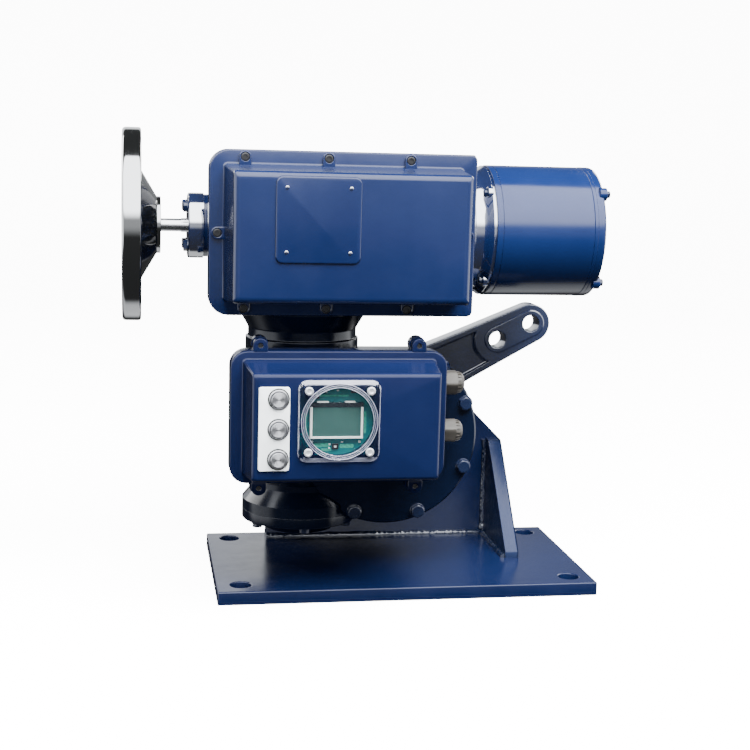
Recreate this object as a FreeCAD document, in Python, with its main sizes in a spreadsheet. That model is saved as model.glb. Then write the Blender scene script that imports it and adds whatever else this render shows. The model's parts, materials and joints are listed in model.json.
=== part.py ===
import FreeCAD, Part
import math
import os
import re
import Sketcher

# Electric damper actuator: a geared drive box with a handwheel and a motor stands on a worm gearbox,
# whose output shaft carries a crank arm behind a welded mounting bracket. A control box is on the front.
# Millimetres. X runs along the drive shaft towards the motor, Y away from the controls, Z up.
# The origin is on the underside of the base plate, at the centre of its four holes.

SIZES = {
    # Base plate and bracket
    "base_length": 400,
    "base_width": 222,
    "base_thick": 14,
    "base_edge": 2,
    "base_hole_end": 25,
    "base_hole_side": 23.5,
    "base_hole_radius": 11,
    "plate_front": 90,
    "plate_thick": 14,
    "plate_left": -133,
    "plate_right": 141,
    "plate_top": 235,
    "plate_right_shoulder": 127.4,
    "plate_left_shoulder": 203,
    "gusset_thick": 15,
    "gusset_inset": 2,
    "gusset_reach": 105,
    "gusset_toe": 6,
    "gusset_height": 113,
    "gusset_top_width": 12,
    "weld_leg": 6,
    # Axes
    "gear_x": -17,
    "gear_z": 160,
    "axis_y": 10,
    "drive_z": 376,
    # Worm and wheel
    "tooth_module": 3,
    "wheel_teeth": 44,
    "worm_pitch_radius": 22,
    "worm_turns": 6,
    "wheel_face": 26,
    "wheel_hub_length": 38,
    "wheel_hub_radius": 36,
    "wheel_rim_depth": 7,
    "wheel_web_half": 6,
    "tooth_backlash": 1,
    "tip_clearance": 0.75,
    # Mitre gears on the drive shaft and the worm shaft
    "mitre_teeth": 20,
    "mitre_face": 13,
    "mitre_hub_radius": 18,
    "mitre_hub_length": 20,
    # Worm gearbox
    "housing_gap": 4,
    "housing_wall": 9,
    "flange_radius": 96.5,
    "flange_thick": 14,
    "flange_flat": 89,
    "cover_thick": 12,
    "cover_front": -40,
    "cover_boss": 6,
    "cover_boss_radius": 16,
    "cover_bolt_circle": 89.8,
    "cover_bolt_depth": 6,
    "mount_bolt_depth": 12,
    "mount_pad": 12,
    "relief": 1.5,
    "cavity_back": 34,
    "drum_back_radius": 68,
    "mount_bolt_circle": 60,
    "spigot_radius": 39.5,
    "plug_boss_radius": 11,
    "plug_height": 90,
    "plug_depth": 12,
    "plug_y": 4,
    # Worm barrel and neck
    "barrel_radius": 37.5,
    "barrel_top": 250,
    "barrel_top_flange": 60.5,
    "barrel_top_thick": 10,
    "barrel_foot": 72,
    "barrel_foot_radius": 62,
    "barrel_foot_thick": 11,
    "barrel_foot_cone": 15,
    "barrel_root_radius": 50,
    "barrel_root_height": 6,
    "foot_bolt_inset": 7,
    "top_bolt_inset": 6.5,
    "barrel_bolt_depth": 8,
    "end_cover_flange": 11,
    "end_cover_depth": 13,
    "neck_height": 40,
    "neck_radius": 58,
    "neck_flare_radius": 68.5,
    "neck_web": 12,
    "neck_bore": 44,
    # Bearings and seals
    "worm_bearing_bore": 12.5,
    "worm_bearing_radius": 31,
    "worm_bearing_width": 17,
    "worm_bearing_low": 78,
    "worm_bearing_high": 226,
    "drive_bearing_bore": 10,
    "drive_bearing_radius": 21,
    "drive_bearing_width": 12,
    "bush_wall": 6,
    "bush_length": 24,
    "rear_bush_length": 28,
    "seal_width": 8,
    "seal_height": 9.5,
    "running_gap": 0.05,
    # Output shaft and crank arm
    "front_journal": 20,
    "rear_journal": 22.5,
    "wheel_seat": 24,
    "shaft_collar": 29,
    "crank_seat": 20,
    "crank_back": 162,
    "hub_radius": 40,
    "hub_front": 107,
    "arm_front": 133,
    "arm_back": 160,
    "arm_angle": 26,
    "arm_hole_near": 180,
    "arm_hole_far": 225,
    "arm_hole_radius": 10,
    "arm_end_radius": 23,
    "arm_web_recess": 6,
    "key_width": 10,
    "key_height": 8,
    "washer_radius": 30,
    "washer_thick": 6,
    # Drive box
    "box_left": -209.5,
    "box_right": 64,
    "box_low": 290,
    "box_high": 456.5,
    "box_inset": 8,
    "box_wall": 8,
    "box_split": -57,
    "box_back": 85,
    "box_flange": 11.5,
    "lid_flange": 8,
    "lid_front": -135,
    "lid_margin": 15,
    "lid_draft": 4.8,
    "lid_wall": 5,
    "lid_round": 4,
    "box_round": 8,
    "box_left_round": 20,
    "box_right_round": 2,
    "lid_right_round": 6,
    "lid_boss": 4,
    "lid_boss_radius": 6.4,
    "lid_screw_sunk": 0.4,
    "gasket_thick": 1.5,
    "gasket_width": 8,
    "lid_screw_x": -90,
    "lid_screw_step": 84,
    "lid_screw_inset": 7.3,
    "pad_x": -108,
    "pad_z": 391,
    "pad_width": 83.5,
    "pad_height": 84,
    "pad_raise": 1.6,
    "rivet_span": 62,
    # Cap on the input side
    "cap_radius": 34,
    "cap_left": -228,
    "cap_right": -211.5,
    "cap_lip": 4.5,
    "cap_bolt_half": 20,
    "boss_radius": 32.5,
    # Handwheel
    "wheel_left": -295.2,
    "rim_width": 19.5,
    "rim_radius": 100,
    "rim_wall": 14,
    "web_radius": 59,
    "web_thick": 6,
    "web_left": -258.7,
    "handwheel_hub_radius": 29.5,
    "handwheel_hub_thick": 4,
    "handwheel_bore": 6.7,
    "shaft_step": -234.4,
    "shaft_step_radius": 7.3,
    # Motor
    "adapter_radius": 63,
    "adapter_flare": 69.5,
    "adapter_right": 89.4,
    "adapter_groove": 2.5,
    "adapter_wall": 7,
    "adapter_ear_radius": 7,
    "adapter_ear_length": 5.5,
    "adapter_bolt_circle": 65,
    "motor_turn": 5.4,
    "motor_ring_width": 6,
    "motor_radius": 70,
    "motor_right": 194.5,
    "motor_wall": 8,
    "motor_cap_right": 208,
    "motor_cap_plate": 6,
    "motor_ear_radius": 7,
    "motor_ear_length": 8,
    "motor_ear_proud": 2.5,
    "motor_bolt_circle": 67,
    "motor_bolt_flats": 7,
    "motor_bolt_head": 4,
    "motor_bolt_radius": 2.2,
    "stator_bore": 41,
    "rotor_gap": 0.6,
    "rotor_shaft": 8.5,
    "coupling_radius": 24,
    # Control box
    "ctl_left": -189.5,
    "ctl_right": 29.5,
    "ctl_low": 126.1,
    "ctl_high": 260.5,
    "ctl_split": -98,
    "ctl_lid_flange": 12,
    "ctl_body_flange": 11,
    "ctl_back": -54,
    "ctl_inset": 8,
    "ctl_wall": 4.5,
    "ctl_front": -165,
    "ctl_margin": 12.5,
    "ctl_pan_margin": 9.5,
    "ctl_draft": 4.8,
    "ctl_round": 17,
    "ctl_ear_x": 160,
    "ctl_ear_mid": -80,
    "ctl_ear_out": 5.1,
    "ctl_ear_radius": 7.5,
    "standoff_radius": 9,
    # Window and display
    "window_x": -88.5,
    "window_z": 200.5,
    "bezel_size": 80,
    "bezel_thick": 4,
    "bezel_round": 9,
    "bezel_lip": 2,
    "window_ring": 37.6,
    "window_bore": 33,
    "window_screw_span": 60,
    "glass_thick": 3,
    "lcd_width": 52,
    "lcd_height": 35.5,
    "lcd_thick": 6,
    "board_width": 78,
    "board_height": 72,
    "board_thick": 1.6,
    "board_stand": 12,
    # Buttons
    "button_plate_x": -151.3,
    "button_plate_z": 192.8,
    "button_plate_width": 30,
    "button_plate_height": 82,
    "button_plate_thick": 2,
    "button_x": -147.2,
    "button_pitch": 29.35,
    "button_ring": 9.4,
    "button_radius": 7.2,
    "button_travel": 2,
    "button_barrel": 8,
    # Cable glands
    "gland_y": -70.5,
    "gland_low": 171,
    "gland_high": 222,
    "gland_flats": 24,
    "gland_hex": 8,
    "gland_nut_length": 25,
    "gland_bore": 6.5,
    # Fasteners
    "bolt_flats": 13,
    "bolt_head": 6,
    "bolt_radius": 4,
    "small_flats": 10,
    "small_head": 5,
    "small_radius": 3,
    "screw_head_radius": 4.2,
    "screw_head": 3,
    "screw_radius": 2.2,
    "hole_gap": 0.4,
}

doc = FreeCAD.newDocument("DamperActuator")
sheet = doc.addObject("Spreadsheet::Sheet", "sizes")
for row, (alias, number) in enumerate(SIZES.items(), 1):
    sheet.set(f"A{row}", str(number))
    sheet.setAlias(f"A{row}", alias)
doc.recompute()

V = FreeCAD.Vector
TURN = {
    "x": FreeCAD.Rotation(V(0, 1, 0), 90),
    "y": FreeCAD.Rotation(V(1, 0, 0), -90),
    "z": FreeCAD.Rotation(),
}
nodes = []


def bind(text):
    """The expression with the sheet's name put before each size."""
    return re.sub(r"[a-z_]+", lambda m: "sizes." + m[0] if m[0] in SIZES else m[0], str(text))


def number(text):
    """The present value of an expression."""
    return float(sheet.evalExpression(bind(text)))


def point(axis, station, across):
    """x, y and z from a station along an axis and the other two coordinates in order."""
    first, second = across
    return {"x": (station, first, second), "y": (first, station, second), "z": (first, second, station)}[axis]


def move(obj, x, y, z):
    """Ties the piece's position to expressions."""
    for name, text in zip("xyz", (x, y, z)):
        obj.setExpression("Placement.Base." + name, bind(text))
    return obj


def block(x, y, z):
    """A box between a low and a high expression on each axis."""
    obj = doc.addObject("Part::Box", "block")
    for name, (low, high) in zip(("Length", "Width", "Height"), (x, y, z)):
        obj.setExpression(name, bind(f"({high}) - ({low})"))
    return move(obj, x[0], y[0], z[0])


def rod(axis, across, low, high, radius):
    """A cylinder along an axis between two stations."""
    obj = doc.addObject("Part::Cylinder", "rod")
    obj.Placement = FreeCAD.Placement(V(), TURN[axis])
    obj.setExpression("Radius", bind(radius))
    obj.setExpression("Height", bind(f"({high}) - ({low})"))
    return move(obj, *point(axis, low, across))


def hexagon(axis, across, low, high, flats):
    """A hexagonal prism along an axis."""
    obj = doc.addObject("Part::Prism", "hexagon")
    obj.Placement = FreeCAD.Placement(V(), TURN[axis])
    obj.Polygon = 6
    obj.setExpression("Circumradius", bind(f"({flats}) / 2 / cos(30)"))
    obj.setExpression("Height", bind(f"({high}) - ({low})"))
    return move(obj, *point(axis, low, across))


def fuse(*parts):
    obj = doc.addObject("Part::MultiFuse", "fuse")
    obj.Shapes = list(parts)
    return obj


def cut(base, *tools):
    obj = doc.addObject("Part::Cut", "cut")
    obj.Base = base
    obj.Tool = tools[0] if len(tools) == 1 else fuse(*tools)
    return obj


def tube(axis, across, low, high, outer, inner):
    return cut(rod(axis, across, low, high, outer), rod(axis, across, low, high, inner))


def bolt(axis, across, face, way, flats, head, radius, length):
    """A hexagon bolt whose head stands on a face and whose shank goes the other way."""
    top = f"{face} + {head}" if way > 0 else f"{face} - {head}"
    end = f"{face} - ({length})" if way > 0 else f"{face} + {length}"
    ends = (face, top) if way > 0 else (top, face)
    stem = (end, face) if way > 0 else (face, end)
    return fuse(hexagon(axis, across, *ends, flats), rod(axis, across, *stem, radius))


def screw(across, face, length):
    """A pan-head screw that faces the front."""
    head = rod("y", across, f"{face} - screw_head", face, "screw_head_radius")
    return fuse(head, rod("y", across, face, f"{face} + {length}", "screw_radius"))


def ring_spots(x, z, radius, count, start):
    """Evenly spaced places on a circle."""
    spots = []
    for i in range(count):
        angle = start + 360 * i / count
        spots.append((f"{x} + ({radius}) * cos({angle})", f"{z} + ({radius}) * sin({angle})"))
    return spots


def node(label, *parts):
    """Gives a piece its name. Several parts are one kind of fastener or one welded set."""
    obj = parts[0]
    if len(parts) > 1:
        obj = doc.addObject("Part::Compound", "set")
        obj.Links = list(parts)
    obj.Label = label
    nodes.append(obj)
    return obj


def new_body():
    body = doc.addObject("PartDesign::Body", "body")
    planes = {item.Role: item for item in body.Origin.OriginFeatures}
    return body, planes


def outline(body, plane, points, offset="0"):
    """A closed outline through points that are tied to expressions."""
    sketch = body.newObject("Sketcher::SketchObject", "outline")
    sketch.AttachmentSupport = (plane, [""])
    sketch.MapMode = "FlatFace"
    sketch.setExpression("AttachmentOffset.Base.z", bind(offset))
    starts = [V(number(u), number(w), 0) for u, w in points]
    count = len(points)
    for i in range(count):
        sketch.addGeometry(Part.LineSegment(starts[i], starts[(i + 1) % count]), False)
    for i in range(count):
        sketch.addConstraint(Sketcher.Constraint("Coincident", i, 2, (i + 1) % count, 1))
        for kind, text, line in (("DistanceX", points[i][0], -2), ("DistanceY", points[i][1], -1)):
            if str(text) == "0":
                sketch.addConstraint(Sketcher.Constraint("PointOnObject", i, 1, line))
                continue
            place = sketch.addConstraint(Sketcher.Constraint(kind, -1, 1, i, 1, number(text)))
            sketch.setExpression(f"Constraints[{place}]", bind(text))
    return sketch


def turned(axis, across, points):
    """A lathe-turned piece: (station, radius) points revolved about an axis."""
    body, planes = new_body()
    sketch = outline(body, planes["XY_Plane"], points)
    revolve = body.newObject("PartDesign::Revolution", "revolve")
    revolve.Profile = sketch
    revolve.ReferenceAxis = (sketch, ["H_Axis"])
    revolve.Angle = 360
    swing = {"x": (V(0, 0, 1), 0), "y": (V(0, 0, 1), 90), "z": (V(0, 1, 0), -90)}[axis]
    body.Placement = FreeCAD.Placement(V(), FreeCAD.Rotation(*swing))
    return move(body, *point(axis, "0", across))


def pad(sketch, length, back=False):
    body = sketch.getParentGeoFeatureGroup()
    obj = body.newObject("PartDesign::Pad", "pad")
    obj.Profile = sketch
    obj.Reversed = back
    obj.setExpression("Length", bind(length))
    return obj


def plate(role, points, low, high):
    """A flat piece: an outline in a plane, thickened between two stations on that plane's normal."""
    body, planes = new_body()
    pad(outline(body, planes[role], points), f"({high}) - ({low})", role == "XZ_Plane")
    name = {"XY_Plane": "z", "XZ_Plane": "y", "YZ_Plane": "x"}[role]
    body.setExpression("Placement.Base." + name, bind(low))
    return body


def round_edges(body, radius, chosen, kind="PartDesign::Fillet"):
    """Rounds or bevels the edges that a test picks on the body's last feature."""
    doc.recompute()
    solid = body.Tip
    names = [f"Edge{i}" for i, edge in enumerate(solid.Shape.Edges, 1) if chosen(edge)]
    obj = body.newObject(kind, "round")
    obj.Base = (solid, names)
    obj.setExpression("Radius" if kind.endswith("Fillet") else "Size", bind(radius))
    return body


def along(axis):
    """A test for straight edges parallel to an axis."""
    direction = {"x": V(1, 0, 0), "y": V(0, 1, 0), "z": V(0, 0, 1)}[axis]

    def test(edge):
        if edge.Curve.TypeId != "Part::GeomLine":
            return False
        return abs(abs(edge.tangentAt(edge.FirstParameter).dot(direction)) - 1) < 1e-6
    return test


def rectangle(left, low, right, high):
    return [(left, low), (right, low), (right, high), (left, high)]


# Places that several pieces share
WHEEL_PITCH = "(tooth_module * wheel_teeth / 2)"
WORM_X = f"(gear_x - {WHEEL_PITCH} - worm_pitch_radius)"
WORM_AXIS = (WORM_X, "axis_y")
GEAR_AXIS = ("gear_x", "gear_z")
DRIVE_AXIS = ("axis_y", "drive_z")
PLATE_BACK = "(plate_front + plate_thick)"
WHEEL_TIP = f"({WHEEL_PITCH} + tooth_module)"
CAVITY = f"({WHEEL_TIP} + housing_gap)"
HOUSING = f"({CAVITY} + housing_wall)"
FLANGE_FRONT = "(cover_front + cover_thick)"
BASE_HOLES = [(f"{i} * (base_length / 2 - base_hole_end)", f"{k} * (base_width / 2 - base_hole_side)")
              for i in (-1, 1) for k in (-1, 1)]

# Base plate with four mounting holes and a bevelled top edge
body, planes = new_body()
pad(outline(body, planes["XY_Plane"], rectangle(
    "-base_length / 2", "-base_width / 2", "base_length / 2", "base_width / 2")), "base_thick")
doc.recompute()
top = number("base_thick")
round_edges(body, "base_edge", lambda e: abs(e.BoundBox.ZMin - top) < 1e-6, "PartDesign::Chamfer")
node("base_plate", cut(body, *[rod("z", spot, "0", "base_thick", "base_hole_radius") for spot in BASE_HOLES]))

# Rear plate: slanted top corners, the opening for the output and the gearbox bolt holes
MOUNT_SPOTS = ring_spots(*GEAR_AXIS, "mount_bolt_circle", 4, 45)
RISE = "(plate_top - plate_right_shoulder)"
body = plate("XZ_Plane", [
    ("plate_left", "base_thick"), ("plate_right", "base_thick"), ("plate_right", "plate_right_shoulder"),
    (f"plate_right - {RISE}", "plate_top"), ("plate_left + (plate_top - plate_left_shoulder)", "plate_top"),
    ("plate_left", "plate_left_shoulder")], "plate_front", PLATE_BACK)
openings = [rod("y", GEAR_AXIS, "plate_front", PLATE_BACK, "spigot_radius + hole_gap")]
openings += [rod("y", spot, "plate_front", PLATE_BACK, "bolt_radius + hole_gap") for spot in MOUNT_SPOTS]
node("rear_plate", cut(body, *openings))

# Side gusset, a tapered brace in front of the rear plate
GUSSET_RIGHT = "(plate_right - gusset_inset)"
node("side_gusset", plate("YZ_Plane", [
    ("plate_front", "base_thick"), ("plate_front - gusset_reach", "base_thick"),
    ("plate_front - gusset_reach", "base_thick + gusset_toe"),
    ("plate_front - gusset_top_width", "base_thick + gusset_height"),
    ("plate_front", "base_thick + gusset_height")], f"{GUSSET_RIGHT} - gusset_thick", GUSSET_RIGHT))


def fillet_weld(axis, across, low, high, turn):
    """A quarter-round weld bead that fills an inside corner."""
    bead = rod(axis, across, low, high, "weld_leg")
    bead.Angle = 90
    bead.Placement.Rotation = TURN[axis] * FreeCAD.Rotation(V(0, 0, 1), turn)
    return bead


GUSSET_LEFT = f"({GUSSET_RIGHT} - gusset_thick)"
node(
    "weld_beads",
    fillet_weld("x", ("plate_front", "base_thick"), "plate_left", GUSSET_LEFT, 180),
    fillet_weld("x", (PLATE_BACK, "base_thick"), "plate_left", "plate_right", 90),
    fillet_weld("z", (GUSSET_LEFT, "plate_front"), "base_thick + weld_leg", "base_thick + gusset_height", 180),
    fillet_weld("y", (GUSSET_LEFT, "base_thick"), "plate_front - gusset_reach", "plate_front - weld_leg", 180),
)

# Worm gearbox housing: a drum for the wheel and an upright barrel for the worm, one casting
BARREL_BODY = "barrel_foot + barrel_foot_thick"
drum = turned("y", GEAR_AXIS, [
    (FLANGE_FRONT, "0"), (FLANGE_FRONT, "flange_radius"), (f"{FLANGE_FRONT} + flange_thick", "flange_radius"),
    (f"{FLANGE_FRONT} + flange_thick + 6", HOUSING), ("cavity_back + 4", HOUSING),
    ("cavity_back + 22", "drum_back_radius"), ("plate_front - flange_thick - 3", "drum_back_radius"),
    ("plate_front - flange_thick", "mount_bolt_circle + mount_pad"), ("plate_front", "mount_bolt_circle + mount_pad"),
    ("plate_front", "spigot_radius"), (PLATE_BACK, "spigot_radius"), (PLATE_BACK, "0")])
CONE_TOP = f"({BARREL_BODY} + barrel_foot_cone)"
ROOT_TOP = f"({CONE_TOP} + barrel_root_height)"
barrel = turned("z", WORM_AXIS, [
    ("barrel_foot", "0"), ("barrel_foot", "barrel_foot_radius"), (BARREL_BODY, "barrel_foot_radius"),
    (CONE_TOP, "barrel_root_radius"), (ROOT_TOP, "barrel_root_radius"), (f"{ROOT_TOP} + 10", "barrel_radius"),
    ("barrel_top - barrel_top_thick - 8", "barrel_radius"), ("barrel_top - barrel_top_thick", "barrel_radius + 4"),
    ("barrel_top - barrel_top_thick", "barrel_top_flange"), ("barrel_top", "barrel_top_flange"),
    ("barrel_top", "0")])
plug_boss = rod("z", ("0", "0"), "0", "plug_height", "plug_boss_radius")
plug_boss.Placement.Rotation = FreeCAD.Rotation(V(0, 1, 0), 45)
move(plug_boss, "gear_x", "plug_y", "gear_z")
OUTPUT_BORE = "(rear_journal + bush_wall)"
cavity = turned("y", GEAR_AXIS, [
    (FLANGE_FRONT, "0"), (FLANGE_FRONT, CAVITY), ("cavity_back", CAVITY), ("cavity_back", "shaft_collar + 3"),
    ("plate_front - rear_bush_length", "shaft_collar + 3"), ("plate_front - rear_bush_length", OUTPUT_BORE),
    ("plate_front", OUTPUT_BORE), (f"{PLATE_BACK} - seal_width", OUTPUT_BORE),
    (f"{PLATE_BACK} - seal_width", "rear_journal + seal_height"), (PLATE_BACK, "rear_journal + seal_height"),
    (PLATE_BACK, "0")])
COVER_SPOTS = ring_spots(*GEAR_AXIS, "cover_bolt_circle", 8, 22.5)
FOOT_SPOTS = ring_spots(*WORM_AXIS, "barrel_foot_radius - foot_bolt_inset", 6, 30)
TOP_SPOTS = ring_spots(*WORM_AXIS, "barrel_top_flange - top_bolt_inset", 6, 0)
tools = [cavity, rod("z", WORM_AXIS, "barrel_foot", "barrel_top", "worm_bearing_radius")]
tools += [rod("y", s, FLANGE_FRONT, f"{FLANGE_FRONT} + cover_bolt_depth", "bolt_radius") for s in COVER_SPOTS]
for spot in FOOT_SPOTS:
    tools.append(rod("z", spot, "barrel_foot", "barrel_foot + barrel_bolt_depth", "small_radius"))
for spot in TOP_SPOTS:
    tools.append(rod("z", spot, "barrel_top - barrel_top_thick", "barrel_top", "small_radius + hole_gap"))
    tools.append(rod("z", spot, "barrel_top - barrel_top_thick - small_head - 2",
                     "barrel_top - barrel_top_thick", "small_flats * 0.65"))
tools.append(rod("z", WORM_AXIS, "barrel_foot - 40", "barrel_foot", "barrel_foot_radius + relief"))
tools.append(rod("z", WORM_AXIS, "barrel_top", "barrel_top + 20", "barrel_top_flange + relief"))
tools += [rod("y", s, "plate_front - mount_bolt_depth", "plate_front", "bolt_radius") for s in MOUNT_SPOTS]
TOP_FLAT = ((f"{WORM_X} + barrel_top_flange - 5", "gear_x + flange_radius / 2"),
            ("gear_z + flange_flat", "gear_z + flange_radius + 1"))
tools.append(block(TOP_FLAT[0], (FLANGE_FRONT, f"{FLANGE_FRONT} + flange_thick + 6"), TOP_FLAT[1]))
plug_hole = rod("z", ("0", "0"), "0", "plug_depth", "bolt_radius")
plug_hole.Placement.Rotation = FreeCAD.Rotation(V(0, 1, 0), 45)
PLUG_FOOT = ("gear_x + (plug_height - plug_depth) * sin(45)", "plug_y",
             "gear_z + (plug_height - plug_depth) * cos(45)")
move(plug_hole, *PLUG_FOOT)
tools.append(plug_hole)
node("gearbox_housing", cut(fuse(drum, barrel, plug_boss), *tools))

# Gearbox cover: a round plate with a spigot that carries the front bush
FRONT_BORE = "(front_journal + bush_wall)"
BUSH_FRONT = "(cover_front + 2)"
cover = turned("y", GEAR_AXIS, [
    ("cover_front - cover_boss", "0"), ("cover_front - cover_boss", "cover_boss_radius - 3"),
    ("cover_front", "cover_boss_radius"), ("cover_front", "flange_radius - 2"),
    ("cover_front + 2", "flange_radius"), (FLANGE_FRONT, "flange_radius"),
    (FLANGE_FRONT, f"{FRONT_BORE} + 8"), (f"{BUSH_FRONT} + bush_length", f"{FRONT_BORE} + 8"),
    (f"{BUSH_FRONT} + bush_length", FRONT_BORE), (BUSH_FRONT, FRONT_BORE), (BUSH_FRONT, "0")])
STANDOFF_SPOTS = [("gear_x - 62", "gear_z - 16"), ("gear_x - 62", "gear_z + 26"),
                  ("gear_x + 26", "gear_z - 16"), ("gear_x + 15", "gear_z + 60")]
holes = [rod("y", s, "cover_front", FLANGE_FRONT, "bolt_radius + hole_gap") for s in COVER_SPOTS]
holes += [rod("y", s, "cover_front", "cover_front + 8", "small_radius") for s in STANDOFF_SPOTS]
holes.append(turned("z", WORM_AXIS, [
    ("0", "0"), ("0", "barrel_foot_radius + relief"), (f"{BARREL_BODY} + relief", "barrel_foot_radius + relief"),
    (f"{CONE_TOP} + relief", "barrel_root_radius + relief"), (f"{ROOT_TOP} + relief", "barrel_root_radius + relief"),
    (f"{ROOT_TOP} + 10 + relief", "barrel_radius + relief"), (f"{ROOT_TOP} + 10 + relief", "0")]))
holes.append(rod("z", WORM_AXIS, "barrel_top - barrel_top_thick - 12", "barrel_top + 20",
                 "barrel_top_flange + relief"))
holes.append(block(TOP_FLAT[0], ("cover_front", FLANGE_FRONT), TOP_FLAT[1]))
node("gearbox_cover", cut(cover, *holes))
node("gearbox_cover_bolts", *[
    bolt("y", s, "cover_front", -1, "bolt_flats", "bolt_head", "bolt_radius",
         "cover_thick + cover_bolt_depth") for s in COVER_SPOTS])
node("gearbox_mount_bolts", *[
    bolt("y", s, PLATE_BACK, 1, "bolt_flats", "bolt_head", "bolt_radius", "plate_thick + mount_bolt_depth")
    for s in MOUNT_SPOTS])

# Oil plug on the slanted boss
plug = fuse(hexagon("z", ("0", "0"), "plug_depth", "plug_depth + bolt_head + 4", "bolt_flats + 4"),
            rod("z", ("0", "0"), "plug_depth + bolt_head + 4", "plug_depth + bolt_head + 6", "bolt_radius + 2"),
            rod("z", ("0", "0"), "0", "plug_depth", "bolt_radius"))
plug.Placement.Rotation = FreeCAD.Rotation(V(0, 1, 0), 45)
node("oil_plug", move(plug, *PLUG_FOOT))

# Worm end cover under the barrel, a shallow dome
LOW = "(barrel_foot - end_cover_flange)"
DOME = "(barrel_foot_radius - foot_bolt_inset - small_flats * 0.6 - 1)"
node("worm_end_cover", cut(turned("z", WORM_AXIS, [
    (f"{LOW} - end_cover_depth", "0"), (f"{LOW} - end_cover_depth", f"{DOME} - 20"),
    (f"{LOW} - end_cover_depth + 3", f"{DOME} - 9"),
    (f"{LOW} - 4", f"{DOME} - 1"), (LOW, DOME), (LOW, "barrel_foot_radius"),
    ("barrel_foot", "barrel_foot_radius"), ("barrel_foot", "worm_bearing_radius"),
    ("worm_bearing_low", "worm_bearing_radius"), ("worm_bearing_low", "worm_bearing_radius - 6"),
    (LOW, "worm_bearing_radius - 6"), (LOW, "0")]),
    *[rod("z", s, LOW, "barrel_foot", "small_radius + hole_gap") for s in FOOT_SPOTS]))
barrel_bolts = [
    bolt("z", s, LOW, -1, "small_flats", "small_head", "small_radius", "end_cover_flange + barrel_bolt_depth")
    for s in FOOT_SPOTS]

# Neck column: a hollow flared casting between the gearbox and the drive box
NECK_TOP = "(barrel_top + neck_height)"
SEAL = "(worm_bearing_bore + 8)"
neck = turned("z", WORM_AXIS, [
    ("worm_bearing_high + worm_bearing_width", "worm_bearing_radius - 6"),
    ("worm_bearing_high + worm_bearing_width", "worm_bearing_radius"), ("barrel_top", "worm_bearing_radius"),
    ("barrel_top", "barrel_top_flange"), ("barrel_top + 10", "barrel_top_flange"),
    ("barrel_top + 10", "neck_radius"), ("barrel_top + 20", "neck_radius"),
    (f"{NECK_TOP} - 2", "neck_flare_radius"), (NECK_TOP, "neck_flare_radius"), (NECK_TOP, "neck_bore"),
    ("barrel_top + neck_web", "neck_bore"), ("barrel_top + neck_web", SEAL),
    ("barrel_top + neck_web - seal_width", SEAL), ("barrel_top + neck_web - seal_width", "worm_bearing_radius - 6")])
node("neck_column", cut(neck, *[
    rod("z", s, "barrel_top", "barrel_top + barrel_bolt_depth", "small_radius") for s in TOP_SPOTS]))
barrel_bolts += [
    bolt("z", s, "barrel_top - barrel_top_thick", -1, "small_flats", "small_head", "small_radius",
         "barrel_top_thick + barrel_bolt_depth") for s in TOP_SPOTS]
node("barrel_bolts", *barrel_bolts)

# Bearings, bushes and seals of the gearbox


def bearing(axis, across, low, width, bore, outer):
    """A ball bearing as its sealed ring, with the groove between the races on each side."""
    high = f"{low} + {width}"
    mid = f"(({bore}) + ({outer})) / 2"
    return turned(axis, across, [
        (low, bore), (low, f"{mid} - 3"), (f"{low} + 1", f"{mid} - 3"), (f"{low} + 1", f"{mid} + 3"),
        (low, f"{mid} + 3"), (low, outer), (high, outer), (high, f"{mid} + 3"), (f"{high} - 1", f"{mid} + 3"),
        (f"{high} - 1", f"{mid} - 3"), (high, f"{mid} - 3"), (high, bore)])


WORM_RACE = ("worm_bearing_width", "worm_bearing_bore + running_gap", "worm_bearing_radius")
node("worm_bearings", bearing("z", WORM_AXIS, "worm_bearing_low", *WORM_RACE),
     bearing("z", WORM_AXIS, "worm_bearing_high", *WORM_RACE))
node(
    "shaft_seals",
    tube("z", WORM_AXIS, "barrel_top + neck_web - seal_width", "barrel_top + neck_web",
         SEAL, "worm_bearing_bore + running_gap"),
    tube("y", GEAR_AXIS, f"{PLATE_BACK} - seal_width", PLATE_BACK,
         "rear_journal + seal_height", "rear_journal + running_gap"))
node(
    "output_bushes",
    tube("y", GEAR_AXIS, BUSH_FRONT, f"{BUSH_FRONT} + bush_length", FRONT_BORE, "front_journal + running_gap"),
    tube("y", GEAR_AXIS, "plate_front - rear_bush_length", "plate_front",
         OUTPUT_BORE, "rear_journal + running_gap"))

# Drive box: a cast housing with an open front, carried by the neck
BOX_MID_X = "((box_left + box_right) / 2)"
BOX_MID_Z = "((box_low + box_high) / 2)"
BOX_FACE = "(box_split + gasket_thick)"
BODY_LEFT = "(box_left + box_inset)"
BODY_RIGHT = "(box_right - box_inset)"
BODY_LOW = "(box_low + box_inset)"
BODY_HIGH = "(box_high - box_inset)"
RIGHT_SEAT = "(box_right - 2 - drive_bearing_width)"
LID_SPOTS = [(f"lid_screw_x + {i} * lid_screw_step", z) for i in (-1, 0, 1)
             for z in ("box_low + lid_screw_inset", "box_high - lid_screw_inset")]
LID_SPOTS += [(x, BOX_MID_Z) for x in ("box_left + lid_screw_inset + 1", "box_right - lid_screw_inset - 1")]


def rounded(role, rect, low, high, radius, chosen=lambda edge: True):
    """A rectangular plate with rounded corners."""
    body = plate(role, rectangle(*rect), low, high)
    straight = along({"XY_Plane": "z", "XZ_Plane": "y", "YZ_Plane": "x"}[role])
    return round_edges(body, radius, lambda e: straight(e) and chosen(e))


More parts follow.
